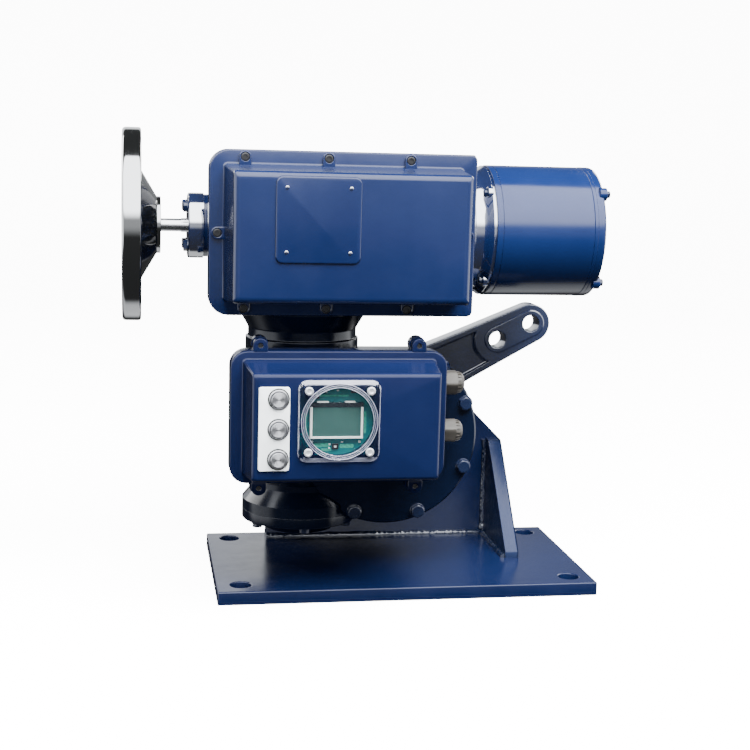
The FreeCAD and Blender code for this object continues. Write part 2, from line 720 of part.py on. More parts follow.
def drafted(rect, low, high, draft, radius, margin="0"):
    """A pan that narrows from a wide face at the split to a smaller front face, with a rounded front edge."""
    left, bottom, right, top = rect
    body, planes = new_body()
    sections = []
    for depth, inset in (("0", margin), (f"({high}) - ({low})", f"({margin}) + ({draft})")):
        sections.append(outline(body, planes["XZ_Plane"], rectangle(
            f"{left} + {inset}", f"{bottom} + {inset}", f"{right} - ({inset})", f"{top} - ({inset})"), depth))
    loft = body.newObject("PartDesign::AdditiveLoft", "loft")
    loft.Profile = sections[0]
    loft.Sections = [sections[1]]
    loft.Ruled = True
    body.setExpression("Placement.Base.y", bind(high))
    if radius:
        far = number(f"({low}) - ({high})")
        round_edges(body, radius, lambda e: e.BoundBox.YMax < far + 0.01)
    return body


def cornered(rect, low, high, left_radius, right_radius):
    """A plate whose left and right corners have their own radii."""
    middle = (number(rect[0]) + number(rect[2])) / 2
    body = rounded("XZ_Plane", rect, low, high, left_radius, lambda e: e.BoundBox.XMax < middle)
    return round_edges(body, right_radius, lambda e: along("y")(e) and e.BoundBox.XMin > middle
                       and e.BoundBox.XMax > number(rect[2]) - 0.01)


BOX = ("box_left", "box_low", "box_right", "box_high")
INNER = (f"{BODY_LEFT} + box_wall", f"{BODY_LOW} + box_wall",
         f"{BODY_RIGHT} - 14", f"{BODY_HIGH} - box_wall")
shell = rounded("XZ_Plane", (BODY_LEFT, BODY_LOW, BODY_RIGHT, BODY_HIGH), BOX_FACE, "box_back", "box_round + 4")
rim = cornered(BOX, BOX_FACE, f"{BOX_FACE} + box_flange", "box_left_round", "box_right_round")
foot = rod("z", WORM_AXIS, NECK_TOP, f"{BODY_LOW} + box_wall", "neck_flare_radius - 4")
input_boss = rod("x", DRIVE_AXIS, "cap_right", f"{BODY_LEFT} + box_wall", "boss_radius")
motor_boss = rod("x", DRIVE_AXIS, f"{BODY_RIGHT} - 4", "box_right", "adapter_radius + 2")
ribs = [block((f"{BODY_LEFT} + {k} * (box_right - box_left) / 5", f"{BODY_LEFT} + {k} * (box_right - box_left) / 5 + 6"),
              (f"{BOX_FACE} + box_flange", "box_back - 6"), (BODY_HIGH, f"{BODY_HIGH} + 3"))
        for k in (1, 2, 3, 4)]
opening = rounded("XZ_Plane", INNER, BOX_FACE, "box_back - box_wall", "box_round")
tools = [opening, rod("z", WORM_AXIS, NECK_TOP, f"{BODY_LOW} + box_wall", "neck_bore"),
         rod("x", DRIVE_AXIS, "cap_right", f"{BODY_LEFT} + box_wall", "drive_bearing_radius - 5"),
         rod("x", DRIVE_AXIS, f"{BODY_RIGHT} - 14", RIGHT_SEAT, "drive_bearing_radius - 5"),
         rod("x", DRIVE_AXIS, RIGHT_SEAT, "box_right", "drive_bearing_radius")]
tools += [rod("y", s, BOX_FACE, f"{BOX_FACE} + box_flange", "screw_radius") for s in LID_SPOTS]
CAP_SPOTS = [(f"axis_y + {i} * cap_bolt_half", f"drive_z + {k} * cap_bolt_half") for i in (-1, 1) for k in (-1, 1)]
tools += [rod("x", s, "cap_right", "cap_right + 12", "small_radius") for s in CAP_SPOTS]
node("gear_housing", cut(fuse(shell, rim, foot, input_boss, motor_boss, *ribs), *tools))

# Front cover of the drive box: a deep drafted pan with a flange, screw bosses and a flat pad
LID_BACK = "box_split"
LID_FACE = "(box_split - lid_flange)"
flange = cornered(BOX, LID_FACE, LID_BACK, "box_left_round", "lid_right_round")
BOSS_FACE = f"({LID_FACE} - lid_boss)"
SCREW_SEAT = f"({BOSS_FACE} + screw_head + lid_screw_sunk)"
pan = drafted(BOX, "lid_front", LID_FACE, "lid_draft", "lid_round", "lid_margin")
hollow = drafted(BOX, "lid_front + lid_wall", LID_BACK, "lid_draft", None, "lid_margin + lid_wall")
bosses = []
for x, z in LID_SPOTS:
    bosses.append(rod("y", (x, z), BOSS_FACE, LID_FACE, "lid_boss_radius"))
for x, z in LID_SPOTS[:6]:
    low, high = (z, "box_low + lid_margin + 3") if "low" in z else ("box_high - lid_margin - 3", z)
    bosses.append(block((f"{x} - lid_boss_radius", f"{x} + lid_boss_radius"), (BOSS_FACE, LID_FACE), (low, high)))
for x, z in LID_SPOTS[6:]:
    low, high = (x, "box_left + lid_margin + 3") if "left" in x else ("box_right - lid_margin - 3", x)
    bosses.append(block((low, high), (BOSS_FACE, LID_FACE), (f"{z} - lid_boss_radius", f"{z} + lid_boss_radius")))
PAD = ("pad_x - pad_width / 2", "pad_z - pad_height / 2", "pad_x + pad_width / 2", "pad_z + pad_height / 2")
raised = rounded("XZ_Plane", PAD, "lid_front - pad_raise", "lid_front + 1", "7")
RIVETS = [(f"pad_x + {i} * rivet_span / 2", f"pad_z + {k} * rivet_span / 2") for i in (-1, 1) for k in (-1, 1)]
tools = [hollow] + [rod("y", s, BOSS_FACE, LID_BACK, "screw_radius + hole_gap") for s in LID_SPOTS]
tools += [rod("y", s, BOSS_FACE, SCREW_SEAT, "screw_head_radius + hole_gap") for s in LID_SPOTS]
tools += [rod("y", s, "lid_front - pad_raise", "lid_front + 3", "1.6") for s in RIVETS]
node("gear_cover", cut(fuse(flange, pan, raised, *bosses), *tools))
node("pad_rivets", *[fuse(
    rod("y", s, "lid_front - pad_raise - 1.2", "lid_front - pad_raise", "2.6"),
    rod("y", s, "lid_front - pad_raise", "lid_front + 3", "1.6")) for s in RIVETS])
node("cover_screws", *[
    screw(s, SCREW_SEAT, f"({BOX_FACE} + box_flange) - {SCREW_SEAT}") for s in LID_SPOTS])


def seal_frame(rect, low, high, inset, width, spots, left_radius, right_radius):
    """A flat gasket between a cover and its box, with holes for the screws."""
    left, bottom, right, top = rect
    frames = []
    for gap in (inset, f"({inset}) + ({width})"):
        frames.append(cornered((f"{left} + {gap}", f"{bottom} + {gap}", f"{right} - ({gap})", f"{top} - ({gap})"),
                               low, high, left_radius, right_radius))
    holes = [rod("y", s, low, high, "screw_radius + hole_gap") for s in spots]
    return cut(frames[0], frames[1], *holes)


node("cover_gasket", seal_frame(BOX, "box_split", BOX_FACE, "1", "box_inset + box_wall - 1", LID_SPOTS,
                                "box_left_round - 1", "lid_right_round - 1"))

# Bearing cap on the input side with four bolts, and the bearings of the drive shaft
CAP_SEAT = "(cap_left + cap_lip)"
cap = turned("x", DRIVE_AXIS, [
    ("cap_left", "shaft_step_radius + hole_gap"), ("cap_left", "cap_radius - 2"),
    ("cap_left + 2", "cap_radius"), ("cap_right", "cap_radius"), ("cap_right", "drive_bearing_radius"),
    (CAP_SEAT, "drive_bearing_radius"), (CAP_SEAT, "shaft_step_radius + hole_gap")])
node("shaft_cap", cut(cap, *[rod("x", s, "cap_left", "cap_right", "small_radius + hole_gap") for s in CAP_SPOTS]))
node("shaft_cap_bolts", *[
    bolt("x", s, "cap_left", -1, "small_flats", "small_head", "small_radius", "cap_right - cap_left + 12")
    for s in CAP_SPOTS])
DRIVE_RACE = ("drive_bearing_width", "drive_bearing_bore + running_gap", "drive_bearing_radius")
node("drive_bearings", bearing("x", DRIVE_AXIS, CAP_SEAT, *DRIVE_RACE),
     bearing("x", DRIVE_AXIS, RIGHT_SEAT, *DRIVE_RACE))

# Motor adapter: a flared hollow neck with three bolt ears at its far end
def around_drive(radius, start):
    """Four places round the drive axis, seen from the motor's end."""
    return [(f"axis_y + {radius} * cos({start} + motor_turn + {90 * i})",
             f"drive_z + {radius} * sin({start} + motor_turn + {90 * i})") for i in range(4)]


ADAPTER_SPOTS = around_drive("adapter_bolt_circle", 45)
EAR_SEAT = "(adapter_right - adapter_groove - adapter_ear_length)"
adapter = turned("x", DRIVE_AXIS, [
    ("box_right - 2", "drive_bearing_bore + 5"), ("box_right - 2", "drive_bearing_radius"),
    ("box_right", "drive_bearing_radius"), ("box_right", "adapter_radius + 2"),
    ("box_right + 3", "adapter_radius + 2"), ("box_right + 5", "adapter_radius"),
    (f"{EAR_SEAT} - 2", "adapter_radius"), (f"{EAR_SEAT} + 3", "adapter_flare"),
    ("adapter_right - adapter_groove", "adapter_flare"), ("adapter_right - adapter_groove", "adapter_flare - 2"),
    ("adapter_right", "adapter_flare - 2"), ("adapter_right", "adapter_radius - adapter_wall"),
    ("box_right + 8", "adapter_radius - adapter_wall"), ("box_right + 8", "drive_bearing_bore + 5")])
ears = [rod("x", s, EAR_SEAT, "adapter_right - adapter_groove", "adapter_ear_radius") for s in ADAPTER_SPOTS]
holes = [rod("x", s, EAR_SEAT, "adapter_right", "motor_bolt_radius + hole_gap") for s in ADAPTER_SPOTS]
holes += [rod("x", s, f"{EAR_SEAT} - motor_bolt_head - 1", EAR_SEAT, "motor_bolt_flats * 0.65") for s in ADAPTER_SPOTS]
node("motor_adapter", cut(fuse(adapter, *ears), rod("x", DRIVE_AXIS, "box_right + 8", "adapter_right",
                                                   "adapter_radius - adapter_wall"), *holes))
node("adapter_bolts", *[
    bolt("x", s, EAR_SEAT, -1, "motor_bolt_flats", "motor_bolt_head", "motor_bolt_radius",
         f"adapter_right - {EAR_SEAT} + 10") for s in ADAPTER_SPOTS])

# Motor: a plain drum with a front ring, closed by an eared end cap, with the stator inside
MOTOR_BORE = "(motor_radius - motor_wall)"
RING = "(adapter_right + motor_ring_width)"
housing = turned("x", DRIVE_AXIS, [
    ("adapter_right", "drive_bearing_radius"), ("adapter_right", "motor_radius"),
    (RING, "motor_radius"), (RING, "motor_radius - 0.8"),
    (f"{RING} + 1", "motor_radius - 0.8"), (f"{RING} + 1", "motor_radius"),
    ("motor_right", "motor_radius"), ("motor_right", MOTOR_BORE), ("adapter_right + 16", MOTOR_BORE),
    ("adapter_right + 16", "drive_bearing_radius - 4"), ("adapter_right + drive_bearing_width", "drive_bearing_radius - 4"),
    ("adapter_right + drive_bearing_width", "drive_bearing_radius")])
MOTOR_SPOTS = around_drive("motor_bolt_circle", 45)
EAR_RIGHT = "(motor_cap_right + motor_ear_proud)"
holes = [rod("x", s, "adapter_right", "adapter_right + 10", "motor_bolt_radius") for s in ADAPTER_SPOTS]
holes += [rod("x", s, "motor_right - 12", "motor_right", "motor_bolt_radius") for s in MOTOR_SPOTS]
node("motor_housing", cut(housing, *holes))
BACK_SEAT = "(motor_cap_right - motor_cap_plate - drive_bearing_width)"
end_cap = turned("x", DRIVE_AXIS, [
    ("motor_right", MOTOR_BORE), ("motor_right", "motor_radius + 1"), ("motor_right + 4", "motor_radius + 1"),
    ("motor_right + 4", "motor_radius"), ("motor_cap_right - 5", "motor_radius"),
    ("motor_cap_right", "motor_radius - 6"), ("motor_cap_right", "0"),
    ("motor_cap_right - motor_cap_plate", "0"), ("motor_cap_right - motor_cap_plate", "drive_bearing_radius"),
    (BACK_SEAT, "drive_bearing_radius"), (BACK_SEAT, "drive_bearing_radius + 5"),
    ("motor_cap_right - motor_cap_plate", "drive_bearing_radius + 9"),
    ("motor_cap_right - motor_cap_plate", MOTOR_BORE)])
ears = [rod("x", s, f"{EAR_RIGHT} - motor_ear_length", EAR_RIGHT, "motor_ear_radius") for s in MOTOR_SPOTS]
holes = [rod("x", s, "motor_right", EAR_RIGHT, "motor_bolt_radius + hole_gap") for s in MOTOR_SPOTS]
node("motor_end_cap", cut(fuse(end_cap, *ears), *holes))
node("motor_end_bolts", *[
    bolt("x", s, EAR_RIGHT, 1, "motor_bolt_flats", "motor_bolt_head", "motor_bolt_radius",
         f"{EAR_RIGHT} - motor_right + 12") for s in MOTOR_SPOTS])
MOTOR_RACE = ("drive_bearing_width", "rotor_shaft + running_gap", "drive_bearing_radius")
node("motor_bearings", bearing("x", DRIVE_AXIS, "adapter_right", *MOTOR_RACE),
     bearing("x", DRIVE_AXIS, BACK_SEAT, *MOTOR_RACE))
STACK_LOW = "(adapter_right + 24)"
STACK_HIGH = "(motor_right - 12)"
node("stator", turned("x", DRIVE_AXIS, [
    (f"{STACK_LOW} - 7", "stator_bore + 3"), (f"{STACK_LOW} - 7", "stator_bore + 16"),
    (STACK_LOW, "stator_bore + 16"), (STACK_LOW, MOTOR_BORE), (STACK_HIGH, MOTOR_BORE),
    (STACK_HIGH, "stator_bore + 16"), (f"{STACK_HIGH} + 7", "stator_bore + 16"),
    (f"{STACK_HIGH} + 7", "stator_bore + 3"), (STACK_HIGH, "stator_bore + 3"), (STACK_HIGH, "stator_bore"),
    (STACK_LOW, "stator_bore"), (STACK_LOW, "stator_bore + 3")]))

# Control box body: a shallow cast tray with a thick flange, four ears and two cable entries
CTL = ("ctl_left", "ctl_low", "ctl_right", "ctl_high")
CTL_LID_BACK = "(ctl_split - 1)"
CTL_LID_FACE = "(ctl_split - ctl_lid_flange)"
CTL_BODY_BACK = "(ctl_split + ctl_body_flange)"
CTL_SKIN = [f"ctl_left + ctl_inset", "ctl_low + ctl_inset", "ctl_right - ctl_inset", "ctl_high - ctl_inset"]
CTL_INSIDE = [f"{side} {sign} ctl_wall" for side, sign in zip(CTL_SKIN, "++--")]
EARS = [(f"ctl_ear_mid + {i} * ctl_ear_x / 2", z) for i in (-1, 1)
        for z in ("ctl_low - ctl_ear_out", "ctl_high + ctl_ear_out")]
GLANDS = [("gland_y", "gland_low"), ("gland_y", "gland_high")]
GLAND_SEAT = "(ctl_right - ctl_inset)"
tray = rounded("XZ_Plane", CTL_SKIN, "ctl_split", "ctl_back", "ctl_round - ctl_inset")
rim = rounded("XZ_Plane", CTL, "ctl_split", CTL_BODY_BACK, "ctl_round")
ears = [rod("y", s, "ctl_split", CTL_BODY_BACK, "ctl_ear_radius + 0.9") for s in EARS]
hollow = rounded("XZ_Plane", CTL_INSIDE, "ctl_split", "ctl_back - ctl_wall", "ctl_round - ctl_inset - ctl_wall")
tools = [hollow] + [rod("y", s, "ctl_split", CTL_BODY_BACK, "screw_radius") for s in EARS]
tools += [rod("x", s, f"{GLAND_SEAT} - ctl_wall", GLAND_SEAT, "gland_bore + 2") for s in GLANDS]
tools += [rod("y", s, "ctl_back - ctl_wall", "ctl_back", "small_radius + hole_gap") for s in STANDOFF_SPOTS]
node("control_body", cut(fuse(tray, rim, *ears), *tools))
node("control_standoffs", *[fuse(
    rod("y", s, "ctl_back", "cover_front", "standoff_radius"),
    rod("y", s, "ctl_back - ctl_wall", "ctl_back", "small_radius"),
    rod("y", s, "ctl_back - ctl_wall - 3", "ctl_back - ctl_wall", "small_radius + 2.2"),
    rod("y", s, "cover_front", "cover_front + 8", "small_radius")) for s in STANDOFF_SPOTS])
node("control_gasket", seal_frame(CTL, CTL_LID_BACK, "ctl_split", "1", "ctl_inset + 2", [],
                                  "ctl_round - 1", "ctl_round - 1"))

# Control box cover: a deep drafted pan with openings for the window and the buttons
CTL_PAN = ("ctl_left + ctl_margin - ctl_pan_margin", "ctl_low",
           "ctl_right - ctl_margin + ctl_pan_margin", "ctl_high")
BUTTONS = [("button_x", f"button_plate_z + {i} * button_pitch") for i in (1, 0, -1)]
WINDOW = ("window_x", "window_z")
BOARD_BACK = "(ctl_front + board_stand)"
PILLARS = [(f"window_x + {i} * (board_width / 2 - 4)", f"window_z + {k} * (board_height / 2 - 4)")
           for i in (-1, 1) for k in (-1, 1)]
flange = rounded("XZ_Plane", CTL, CTL_LID_FACE, CTL_LID_BACK, "ctl_round")
ears = [rod("y", s, CTL_LID_FACE, CTL_LID_BACK, "ctl_ear_radius") for s in EARS]
pan = drafted(CTL_PAN, "ctl_front", CTL_LID_FACE, "ctl_draft", "lid_round", "ctl_pan_margin")
hollow = drafted(CTL_PAN, "ctl_front + ctl_wall", CTL_LID_BACK, "ctl_draft", None, "ctl_pan_margin + ctl_wall")
tools = [rod("y", s, CTL_LID_FACE, CTL_LID_BACK, "screw_radius + hole_gap") for s in EARS]
tools += [rod("y", WINDOW, "ctl_front", "ctl_front + ctl_wall", "window_bore + 1")]
tools += [rod("y", s, "ctl_front", "ctl_front + ctl_wall", "button_barrel + 0.1") for s in BUTTONS]
WINDOW_SPOTS = [(f"window_x + {i} * window_screw_span / 2", f"window_z + {k} * window_screw_span / 2")
                for i in (-1, 1) for k in (-1, 1)]
tools += [rod("y", s, "ctl_front", "ctl_front + ctl_wall", "screw_radius") for s in WINDOW_SPOTS]
pillars = [rod("y", s, "ctl_front + ctl_wall - 1", f"{BOARD_BACK} - board_thick", "3.2") for s in PILLARS]
node("control_cover", cut(fuse(cut(fuse(flange, pan, *ears), hollow), *pillars), *tools))
node("control_screws", *[
    screw(s, CTL_LID_FACE, "ctl_lid_flange + ctl_body_flange") for s in EARS])

# Window: a square bezel with a round raised ring, the glass in a rebate behind it, and four screws
FRAME = ("window_x - bezel_size / 2", "window_z - bezel_size / 2",
         "window_x + bezel_size / 2", "window_z + bezel_size / 2")
BEZEL_FACE = "(ctl_front - bezel_thick)"
bezel = rounded("XZ_Plane", FRAME, BEZEL_FACE, "ctl_front", "bezel_round")
ring = rod("y", WINDOW, f"{BEZEL_FACE} - bezel_lip", BEZEL_FACE, "window_ring")
tools = [rod("y", WINDOW, f"{BEZEL_FACE} - bezel_lip", "ctl_front", "window_bore")]
tools += [rod("y", WINDOW, "ctl_front - glass_thick", "ctl_front", "window_bore + 2.5")]
tools += [rod("y", s, BEZEL_FACE, "ctl_front", "screw_radius + hole_gap") for s in WINDOW_SPOTS]
node("window_bezel", cut(fuse(bezel, ring), *tools))
node("window_glass", rod("y", WINDOW, "ctl_front - glass_thick", "ctl_front", "window_bore + 2.3"))
node("window_screws", *[screw(s, BEZEL_FACE, "bezel_thick + ctl_wall - 0.5") for s in WINDOW_SPOTS])

# Display: a framed panel with a screen opening on its circuit board, carried by the cover's pillars
LCD = ("window_x - 1.5 - lcd_width / 2", "window_z - 0.8 - lcd_height / 2",
       "window_x - 1.5 + lcd_width / 2", "window_z - 0.8 + lcd_height / 2")
BOARD_FACE = f"({BOARD_BACK} - board_thick)"
panel = plate("XZ_Plane", rectangle(*LCD), f"{BOARD_FACE} - lcd_thick", BOARD_FACE)
screen = plate("XZ_Plane", rectangle(*[f"{side} {sign} 4.5" for side, sign in zip(LCD, "++--")]),
               f"{BOARD_FACE} - lcd_thick", f"{BOARD_FACE} - lcd_thick + 1.2")
node("lcd_module", cut(panel, screen))
BOARD = ("window_x - board_width / 2", "window_z - board_height / 2",
         "window_x + board_width / 2", "window_z + board_height / 2")
node("display_board", cut(plate("XZ_Plane", rectangle(*BOARD), BOARD_FACE, BOARD_BACK),
                          *[rod("y", s, BOARD_FACE, BOARD_BACK, "1.5") for s in PILLARS]))

# Push-buttons: a rounded plate, three threaded bodies with a ring and a nut, and the moving caps
KEY_PLATE = ("button_plate_x - button_plate_width / 2", "button_plate_z - button_plate_height / 2",
             "button_plate_x + button_plate_width / 2", "button_plate_z + button_plate_height / 2")
KEY_FACE = "(ctl_front - button_plate_thick)"
node("button_plate", cut(rounded("XZ_Plane", KEY_PLATE, KEY_FACE, "ctl_front", "2.5"),
                         *[rod("y", s, KEY_FACE, "ctl_front", "button_barrel + 0.1") for s in BUTTONS]))
NUT_FACE = "(ctl_front + ctl_wall)"
button_bodies = []
for spot in BUTTONS:
    button_bodies.append(turned("y", spot, [
        (f"{KEY_FACE} - 2", "button_radius + 0.3"), (f"{KEY_FACE} - 2", "button_ring - 0.8"),
        (f"{KEY_FACE} - 1", "button_ring"), (KEY_FACE, "button_ring"), (KEY_FACE, "button_barrel"),
        (NUT_FACE, "button_barrel"), (NUT_FACE, "button_barrel + 3"), (f"{NUT_FACE} + 3", "button_barrel + 3"),
        (f"{NUT_FACE} + 3", "button_barrel"), (f"{NUT_FACE} + 16", "button_barrel"), (f"{NUT_FACE} + 16", "0"),
        (f"{NUT_FACE} + 8", "0"), (f"{NUT_FACE} + 8", "button_radius - 2.7"),
        (f"{KEY_FACE} + 4", "button_radius - 2.7"), (f"{KEY_FACE} + 4", "button_radius + 0.3")]))
node("button_bodies", *button_bodies)
for name, spot in zip(("button_upper", "button_middle", "button_lower"), BUTTONS):
    front = f"{KEY_FACE} - 2.4 - button_travel"
    node(name, turned("y", spot, [
        (front, "0"), (front, "button_radius - 0.8"), (f"{front} + 0.8", "button_radius"),
        (f"{KEY_FACE} + 3.6 - button_travel", "button_radius"),
        (f"{KEY_FACE} + 3.6 - button_travel", "button_radius - 3"),
        (f"{NUT_FACE} + 7.5 - button_travel", "button_radius - 3"), (f"{NUT_FACE} + 7.5 - button_travel", "0")]))

# Cable glands on the right wall: a hexagon body and a dome nut with the cable opening
gland_bodies = []
gland_nuts = []
for spot in GLANDS:
    gland_bodies.append(cut(fuse(
        rod("x", spot, f"{GLAND_SEAT} - ctl_wall - 5", GLAND_SEAT, "gland_bore + 1.9"),
        hexagon("x", spot, GLAND_SEAT, f"{GLAND_SEAT} + gland_hex", "gland_flats"),
        rod("x", spot, f"{GLAND_SEAT} + gland_hex", f"{GLAND_SEAT} + gland_hex + 10", "gland_bore + 2.5"),
        hexagon("x", spot, f"{GLAND_SEAT} - ctl_wall - 4", f"{GLAND_SEAT} - ctl_wall", "gland_flats - 1")),
        rod("x", spot, f"{GLAND_SEAT} - ctl_wall - 5", f"{GLAND_SEAT} + gland_hex + 10", "gland_bore")))
    start = f"{GLAND_SEAT} + gland_hex + 1"
    dome = turned("x", spot, [
        (f"{start} + 10", "gland_bore"), (f"{start} + 10", "gland_flats / 2"),
        (f"{start} + gland_nut_length - 5", "gland_flats / 2 - 1"),
        (f"{start} + gland_nut_length - 1", "gland_flats / 2 - 3.5"),
        (f"{start} + gland_nut_length", "gland_bore + 1"), (f"{start} + gland_nut_length", "gland_bore")])
    hexed = cut(hexagon("x", spot, start, f"{start} + 10", "gland_flats"),
                rod("x", spot, start, f"{start} + 10", "gland_bore + 2.5"))
    gland_nuts.append(fuse(hexed, dome))
node("gland_bodies", *gland_bodies)
node("gland_nuts", *gland_nuts)

# Gear teeth. The flanks are involutes through four points each, with the backlash taken off the wheel
PRESSURE = math.radians(20)


def involute(angle):
    return math.tan(angle) - angle


def tooth_flank(teeth, pitch, root, tip, backlash):
    """(radius, half angle) along one flank of a tooth, from the root to the tip."""
    base = pitch * math.cos(PRESSURE)
    half = math.pi / teeth / 2 - backlash / 2 / pitch + involute(PRESSURE)
    start = max(root, base * 1.0005)
    radii = [start + (tip - start) * i / 3 for i in range(4)]
    flank = [(r, half - involute(math.acos(base / r))) for r in radii]
    if root < start:
        flank.insert(0, (root, flank[0][1]))
    return flank


def feature(shape):
    obj = doc.addObject("Part::Feature", "gear")
    obj.Shape = shape
    return obj


def lathe(points):
    """A solid from (radius, height) points turned about Z."""
    corners = [V(r, 0, z) for r, z in points]
    return Part.Face(Part.makePolygon(corners + corners[:1])).revolve(V(), V(0, 0, 1), 360)


module = number("tooth_module")
dedendum = number("tooth_module + tip_clearance")
worm_pitch = number("worm_pitch_radius")
lead = math.pi * module

# Worm wheel: slanted involute teeth on a rim with a web and a hub, bored for the output shaft
teeth = int(number("wheel_teeth"))
wheel_pitch = number(WHEEL_PITCH)
face = number("wheel_face")
flank = tooth_flank(teeth, wheel_pitch, wheel_pitch - dedendum, wheel_pitch + module, number("tooth_backlash"))
slant = face / 2 * lead / (2 * math.pi * worm_pitch) / wheel_pitch


def wheel_section(height, turn):
    corners = []
    for k in range(teeth):
        centre = math.pi + (k + 0.5) * 2 * math.pi / teeth + turn
        for sign, run in ((-1, flank), (1, flank[::-1])):
            corners += [V(r * math.cos(centre + sign * a), r * math.sin(centre + sign * a), height)
                        for r, a in run]
    return Part.makePolygon(corners + corners[:1])


rim = Part.makeLoft([wheel_section(-face / 2, -slant), wheel_section(face / 2, slant)], True, True)
root = wheel_pitch - dedendum
hub_radius = number("wheel_hub_radius")
hub_half = number("wheel_hub_length") / 2
rim_inside = root - number("wheel_rim_depth")
web_half = number("wheel_web_half")
groove, groove_back = [
    lathe([(hub_radius, side * (face / 2 + 1)), (rim_inside, side * (face / 2 + 1)),
           (rim_inside - 2, side * web_half), (hub_radius + 2, side * web_half)]) for side in (-1, 1)]
hub = Part.makeCylinder(hub_radius, 2 * hub_half, V(0, 0, -hub_half))
bore = Part.makeCylinder(number("wheel_seat"), 2 * hub_half + 2, V(0, 0, -hub_half - 1))
wheel = feature(rim.cut(Part.makeCompound([groove, groove_back])).fuse(hub).cut(bore))
wheel.Placement = FreeCAD.Placement(
    V(number("gear_x"), number("axis_y"), number("gear_z")), FreeCAD.Rotation(V(1, 0, 0), 90))

# Output shaft with its keys. The keys stand in slots of the shaft, the wheel and the crank
SEAT_BACK = "(axis_y + wheel_hub_length / 2)"
SEAT_FRONT = "(axis_y - wheel_hub_length / 2)"
shaft = turned("y", GEAR_AXIS, [
    ("cover_front + 3", "0"), ("cover_front + 3", "front_journal"), (f"{BUSH_FRONT} + bush_length + 2", "front_journal"),
    (f"{BUSH_FRONT} + bush_length + 2", "wheel_seat"), (SEAT_BACK, "wheel_seat"), (SEAT_BACK, "shaft_collar"),
    (f"{SEAT_BACK} + 8", "shaft_collar"), (f"{SEAT_BACK} + 8", "rear_journal"),
    (f"{PLATE_BACK} + 1", "rear_journal"), (f"{PLATE_BACK} + 1", "crank_seat"), ("crank_back - 2", "crank_seat"),
    ("crank_back - 2", "0")])
keys = [
    block(("gear_x - key_width / 2", "gear_x + key_width / 2"), (f"{SEAT_FRONT} + 3", f"{SEAT_BACK} - 3"),
          ("gear_z + wheel_seat - key_height / 2", "gear_z + wheel_seat + key_height / 2")),
    block(("gear_x - key_width / 2", "gear_x + key_width / 2"), ("hub_front + 4", "crank_back - 8"),
          ("gear_z + crank_seat - key_height / 2", "gear_z + crank_seat + key_height / 2"))]
end_hole = rod("y", GEAR_AXIS, "crank_back - 26", "crank_back - 2", "bolt_radius")
node("output_shaft", cut(shaft, end_hole, *keys))
node("worm_wheel", cut(wheel, keys[0]))
node("output_keys", *keys)

# Crank arm: hub, tapering arm with a recessed web on both faces, and two holes in the thick end
ARM_AXIS = ("0", "0")
END = ("arm_hole_far", "0")
NEAR = ("arm_hole_near", "0")
arm = plate("XZ_Plane", [
    ("0", "2 - hub_radius"), ("arm_hole_near - 40", "-arm_end_radius - 5"), ("arm_hole_far", "-arm_end_radius"),
    ("arm_hole_far", "arm_end_radius"), ("arm_hole_near - 40", "arm_end_radius + 5"), ("0", "hub_radius - 2")],
    "arm_front", "arm_back")
recesses = []
for low, high in (("arm_front", "arm_front + arm_web_recess"), ("arm_back - arm_web_recess", "arm_back")):
    pocket = plate("XZ_Plane", [
        ("hub_radius - 8", "9 - hub_radius + 4"), ("arm_hole_near", "-arm_end_radius + 4"),
        ("arm_hole_near", "arm_end_radius - 4"), ("hub_radius - 8", "hub_radius - 9 - 4")], low, high)
    recesses.append(cut(pocket, rod("y", NEAR, low, high, "arm_end_radius + 5"),
                        rod("y", ARM_AXIS, low, high, "hub_radius + 5")))
slots = []
for low, high in (("arm_front", "arm_front + 1"), ("arm_back - 1", "arm_back")):
    inset = "(arm_hole_radius + 5)"
    slots.append(fuse(rod("y", NEAR, low, high, inset), rod("y", END, low, high, inset),
                      block(("arm_hole_near", "arm_hole_far"), (low, high), (f"-{inset}", inset))))
solid = fuse(arm, rod("y", END, "arm_front", "arm_back", "arm_end_radius"),
             turned("y", ARM_AXIS, [
                 ("hub_front", "0"), ("hub_front", "hub_radius - 2"), ("hub_front + 2", "hub_radius"),
                 ("crank_back - 2", "hub_radius"), ("crank_back", "hub_radius - 2"), ("crank_back", "0")]))
holes = [rod("y", s, "arm_front", "arm_back", "arm_hole_radius") for s in (NEAR, END)]
holes.append(rod("y", ARM_AXIS, "hub_front", "crank_back", "crank_seat"))
crank = cut(solid, *recesses, *slots, *holes)
crank.Placement = FreeCAD.Placement(V(), FreeCAD.Rotation(V(0, 1, 0), -10))
crank.setExpression("Placement.Rotation.Angle", bind("-arm_angle"))
move(crank, "gear_x", "0", "gear_z")
node("crank_arm", cut(crank, keys[1]))
WASHER = "(crank_back + washer_thick)"
node("crank_end_bolt", fuse(
    rod("y", GEAR_AXIS, "crank_back", WASHER, "washer_radius"),
    hexagon("y", GEAR_AXIS, WASHER, f"{WASHER} + bolt_head + 2", "bolt_flats + 6"),
    rod("y", GEAR_AXIS, "crank_back - 25", "crank_back", "bolt_radius")))

